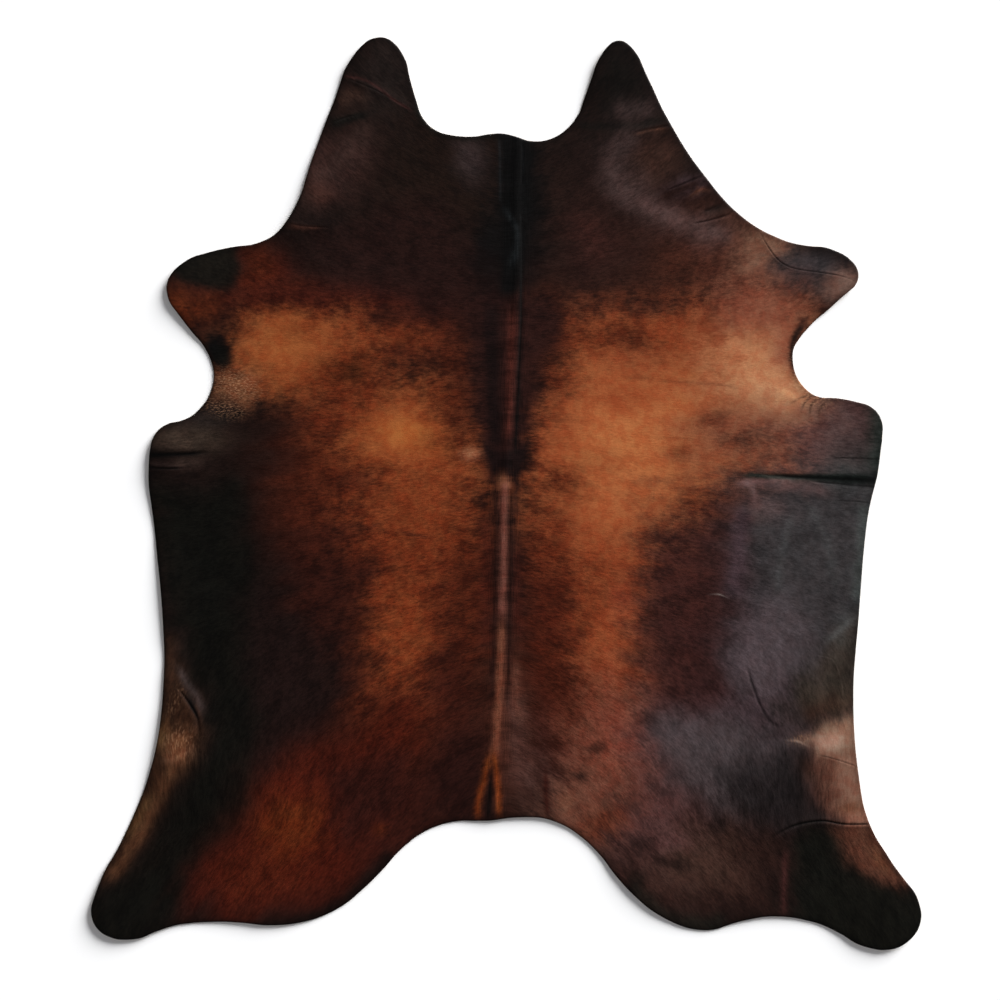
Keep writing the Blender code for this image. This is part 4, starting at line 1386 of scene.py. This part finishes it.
# The suede underneath: cloudy pale brown with a fine nap.
suedeLook = {
    "cloudy": (9.0, 4.0),  # turns to the metre, detail
    "nap": (420.0, 3.0),
    "grain": (60.0, 3.0),
    "pale": "b9a48a",
    "worn": "96826b",
    "napTone": "d2c2aa",
    "cloudShares": (0.7, 0.3),  # of the clouds and of the grain
    "cloudFrom": (0.35, 0.65),
    "napFrom": (0.3, 0.75),
    "napShare": 0.35,
    "reliefShares": (0.7, 0.3),  # of the nap and of the grain
    "bump": {"Strength": 0.6, "Distance": 0.0006},
    "roughness": (0.1, 0.82),
    "surface": {"Specular IOR Level": 0.15, "Sheen Weight": 0.15, "Sheen Roughness": 0.6},
}


def makeSuedeMaterial():
    material = bpy.data.materials.new("suedeSide")
    wire = emptyTree(material)
    place = wire.add("ShaderNodeTexCoord", output=3)
    cloudy, nap, grain = (noise(wire, place, *suedeLook[name]) for name in ("cloudy", "nap", "grain"))
    worn, pale, napTone = ((*linear(suedeLook[name]), 1) for name in ("worn", "pale", "napTone"))
    clouds, grains = suedeLook["cloudShares"]
    tone = wire.mix((cloudy * clouds + grain * grains).within(*suedeLook["cloudFrom"]), worn, pale)
    tone = wire.mix(nap.within(*suedeLook["napFrom"]) * suedeLook["napShare"], tone, napTone)
    naps, grains = suedeLook["reliefShares"]
    relief = nap * naps + grain * grains
    swing, least = suedeLook["roughness"]
    look = {"Base Color": tone, "Roughness": nap * swing + least, **suedeLook["surface"],
            "Normal": wire.add("ShaderNodeBump", inputs={**suedeLook["bump"], "Height": relief})}
    return finishMaterial(material, wire, look)


def makeCoat():
    # the hair side, closed below by the net it shares with the skin
    top, topFaces = hairNet()
    under, underFaces = lowerNet
    rimCount = len(outline)
    topHeights, shade, shine = coatTopAt(top)
    underHeights = heightAt(under) + net["skin"] + net["underHair"]
    points = np.vstack([np.column_stack([top, topHeights]),
                        np.column_stack([under, underHeights])[rimCount:]])
    shifted = np.where(underFaces < rimCount, underFaces, underFaces + len(top) - rimCount)
    faces = topFaces.tolist() + shifted[:, ::-1].tolist()
    coat = newObject("coat", points, faces, makeHairMaterial())
    flat = points[:, :2]
    along, across, slope = hairFlow(flat)
    writeAttribute(coat, "hairFlow", "FLOAT_VECTOR", np.column_stack([along, across, combedShare(flat)]))
    writeAttribute(coat, "frost", "FLOAT", frostAt(flat))
    below = np.zeros(len(points) - len(top))
    # the creases' painted shade and highlight, and the painted shade along the outline, go into both coat
    # colours
    shade, shine = (np.concatenate([values, below])[:, None] for values in (shade, shine))
    rimShade = net["edgeShade"] * bell(toOutline(flat) / net["edgeShadeReach"])[:, None]
    for name, tone in zip(("lightCoat", "darkCoat"), paintCoat(flat)):
        tone = tone * (1 - shade + shine * net["shineGain"]) + shine * net["shineLift"]
        writeAttribute(coat, name, "FLOAT_COLOR", tone * (1 - rimShade))
    places = flat[cornerVertices(coat)]
    hidden = slice(topFaces.size, None)
    places[hidden] = tucked(places[hidden])
    layFlat(coat, places)
    return coat


def makeSkin():
    # the lower net twice, a skin apart, with a wall between the two outlines
    flat, plan = lowerNet
    rimCount, count = len(outline), len(flat)
    low = heightAt(flat)
    points = np.vstack([np.column_stack([flat, low]), np.column_stack([flat, low + net["skin"]])])
    faces = plan[:, ::-1].tolist() + (plan + count).tolist()
    anticlockwise = runsAnticlockwise(outline)
    for i in range(rimCount):
        j = (i + 1) % rimCount
        quad = (i, j, j + count, i + count)
        faces.append(quad if anticlockwise else quad[::-1])
    skin = newObject("skin", points, faces, makeSuedeMaterial())
    index = cornerVertices(skin)
    places = points[index][:, :2]
    hidden = slice(plan.size, 2 * plan.size)
    places[hidden] = tucked(places[hidden])
    wallTop = np.where(index >= count)[0]
    wallTop = wallTop[wallTop >= hidden.stop]
    places[wallTop] += outward[index[wallTop] - count] * bakeMap["wallReach"]
    layFlat(skin, places)
    return skin


lowerNet = triangulate(lattice(net["skinStep"], net["skinClear"]))
coat = makeCoat()
print("coat:", len(coat.data.polygons), "faces")
skin = makeSkin()
print("skin:", len(skin.data.polygons), "faces")
for piece in (coat, skin):
    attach(piece, "root")
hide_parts("hide")
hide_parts("hide")
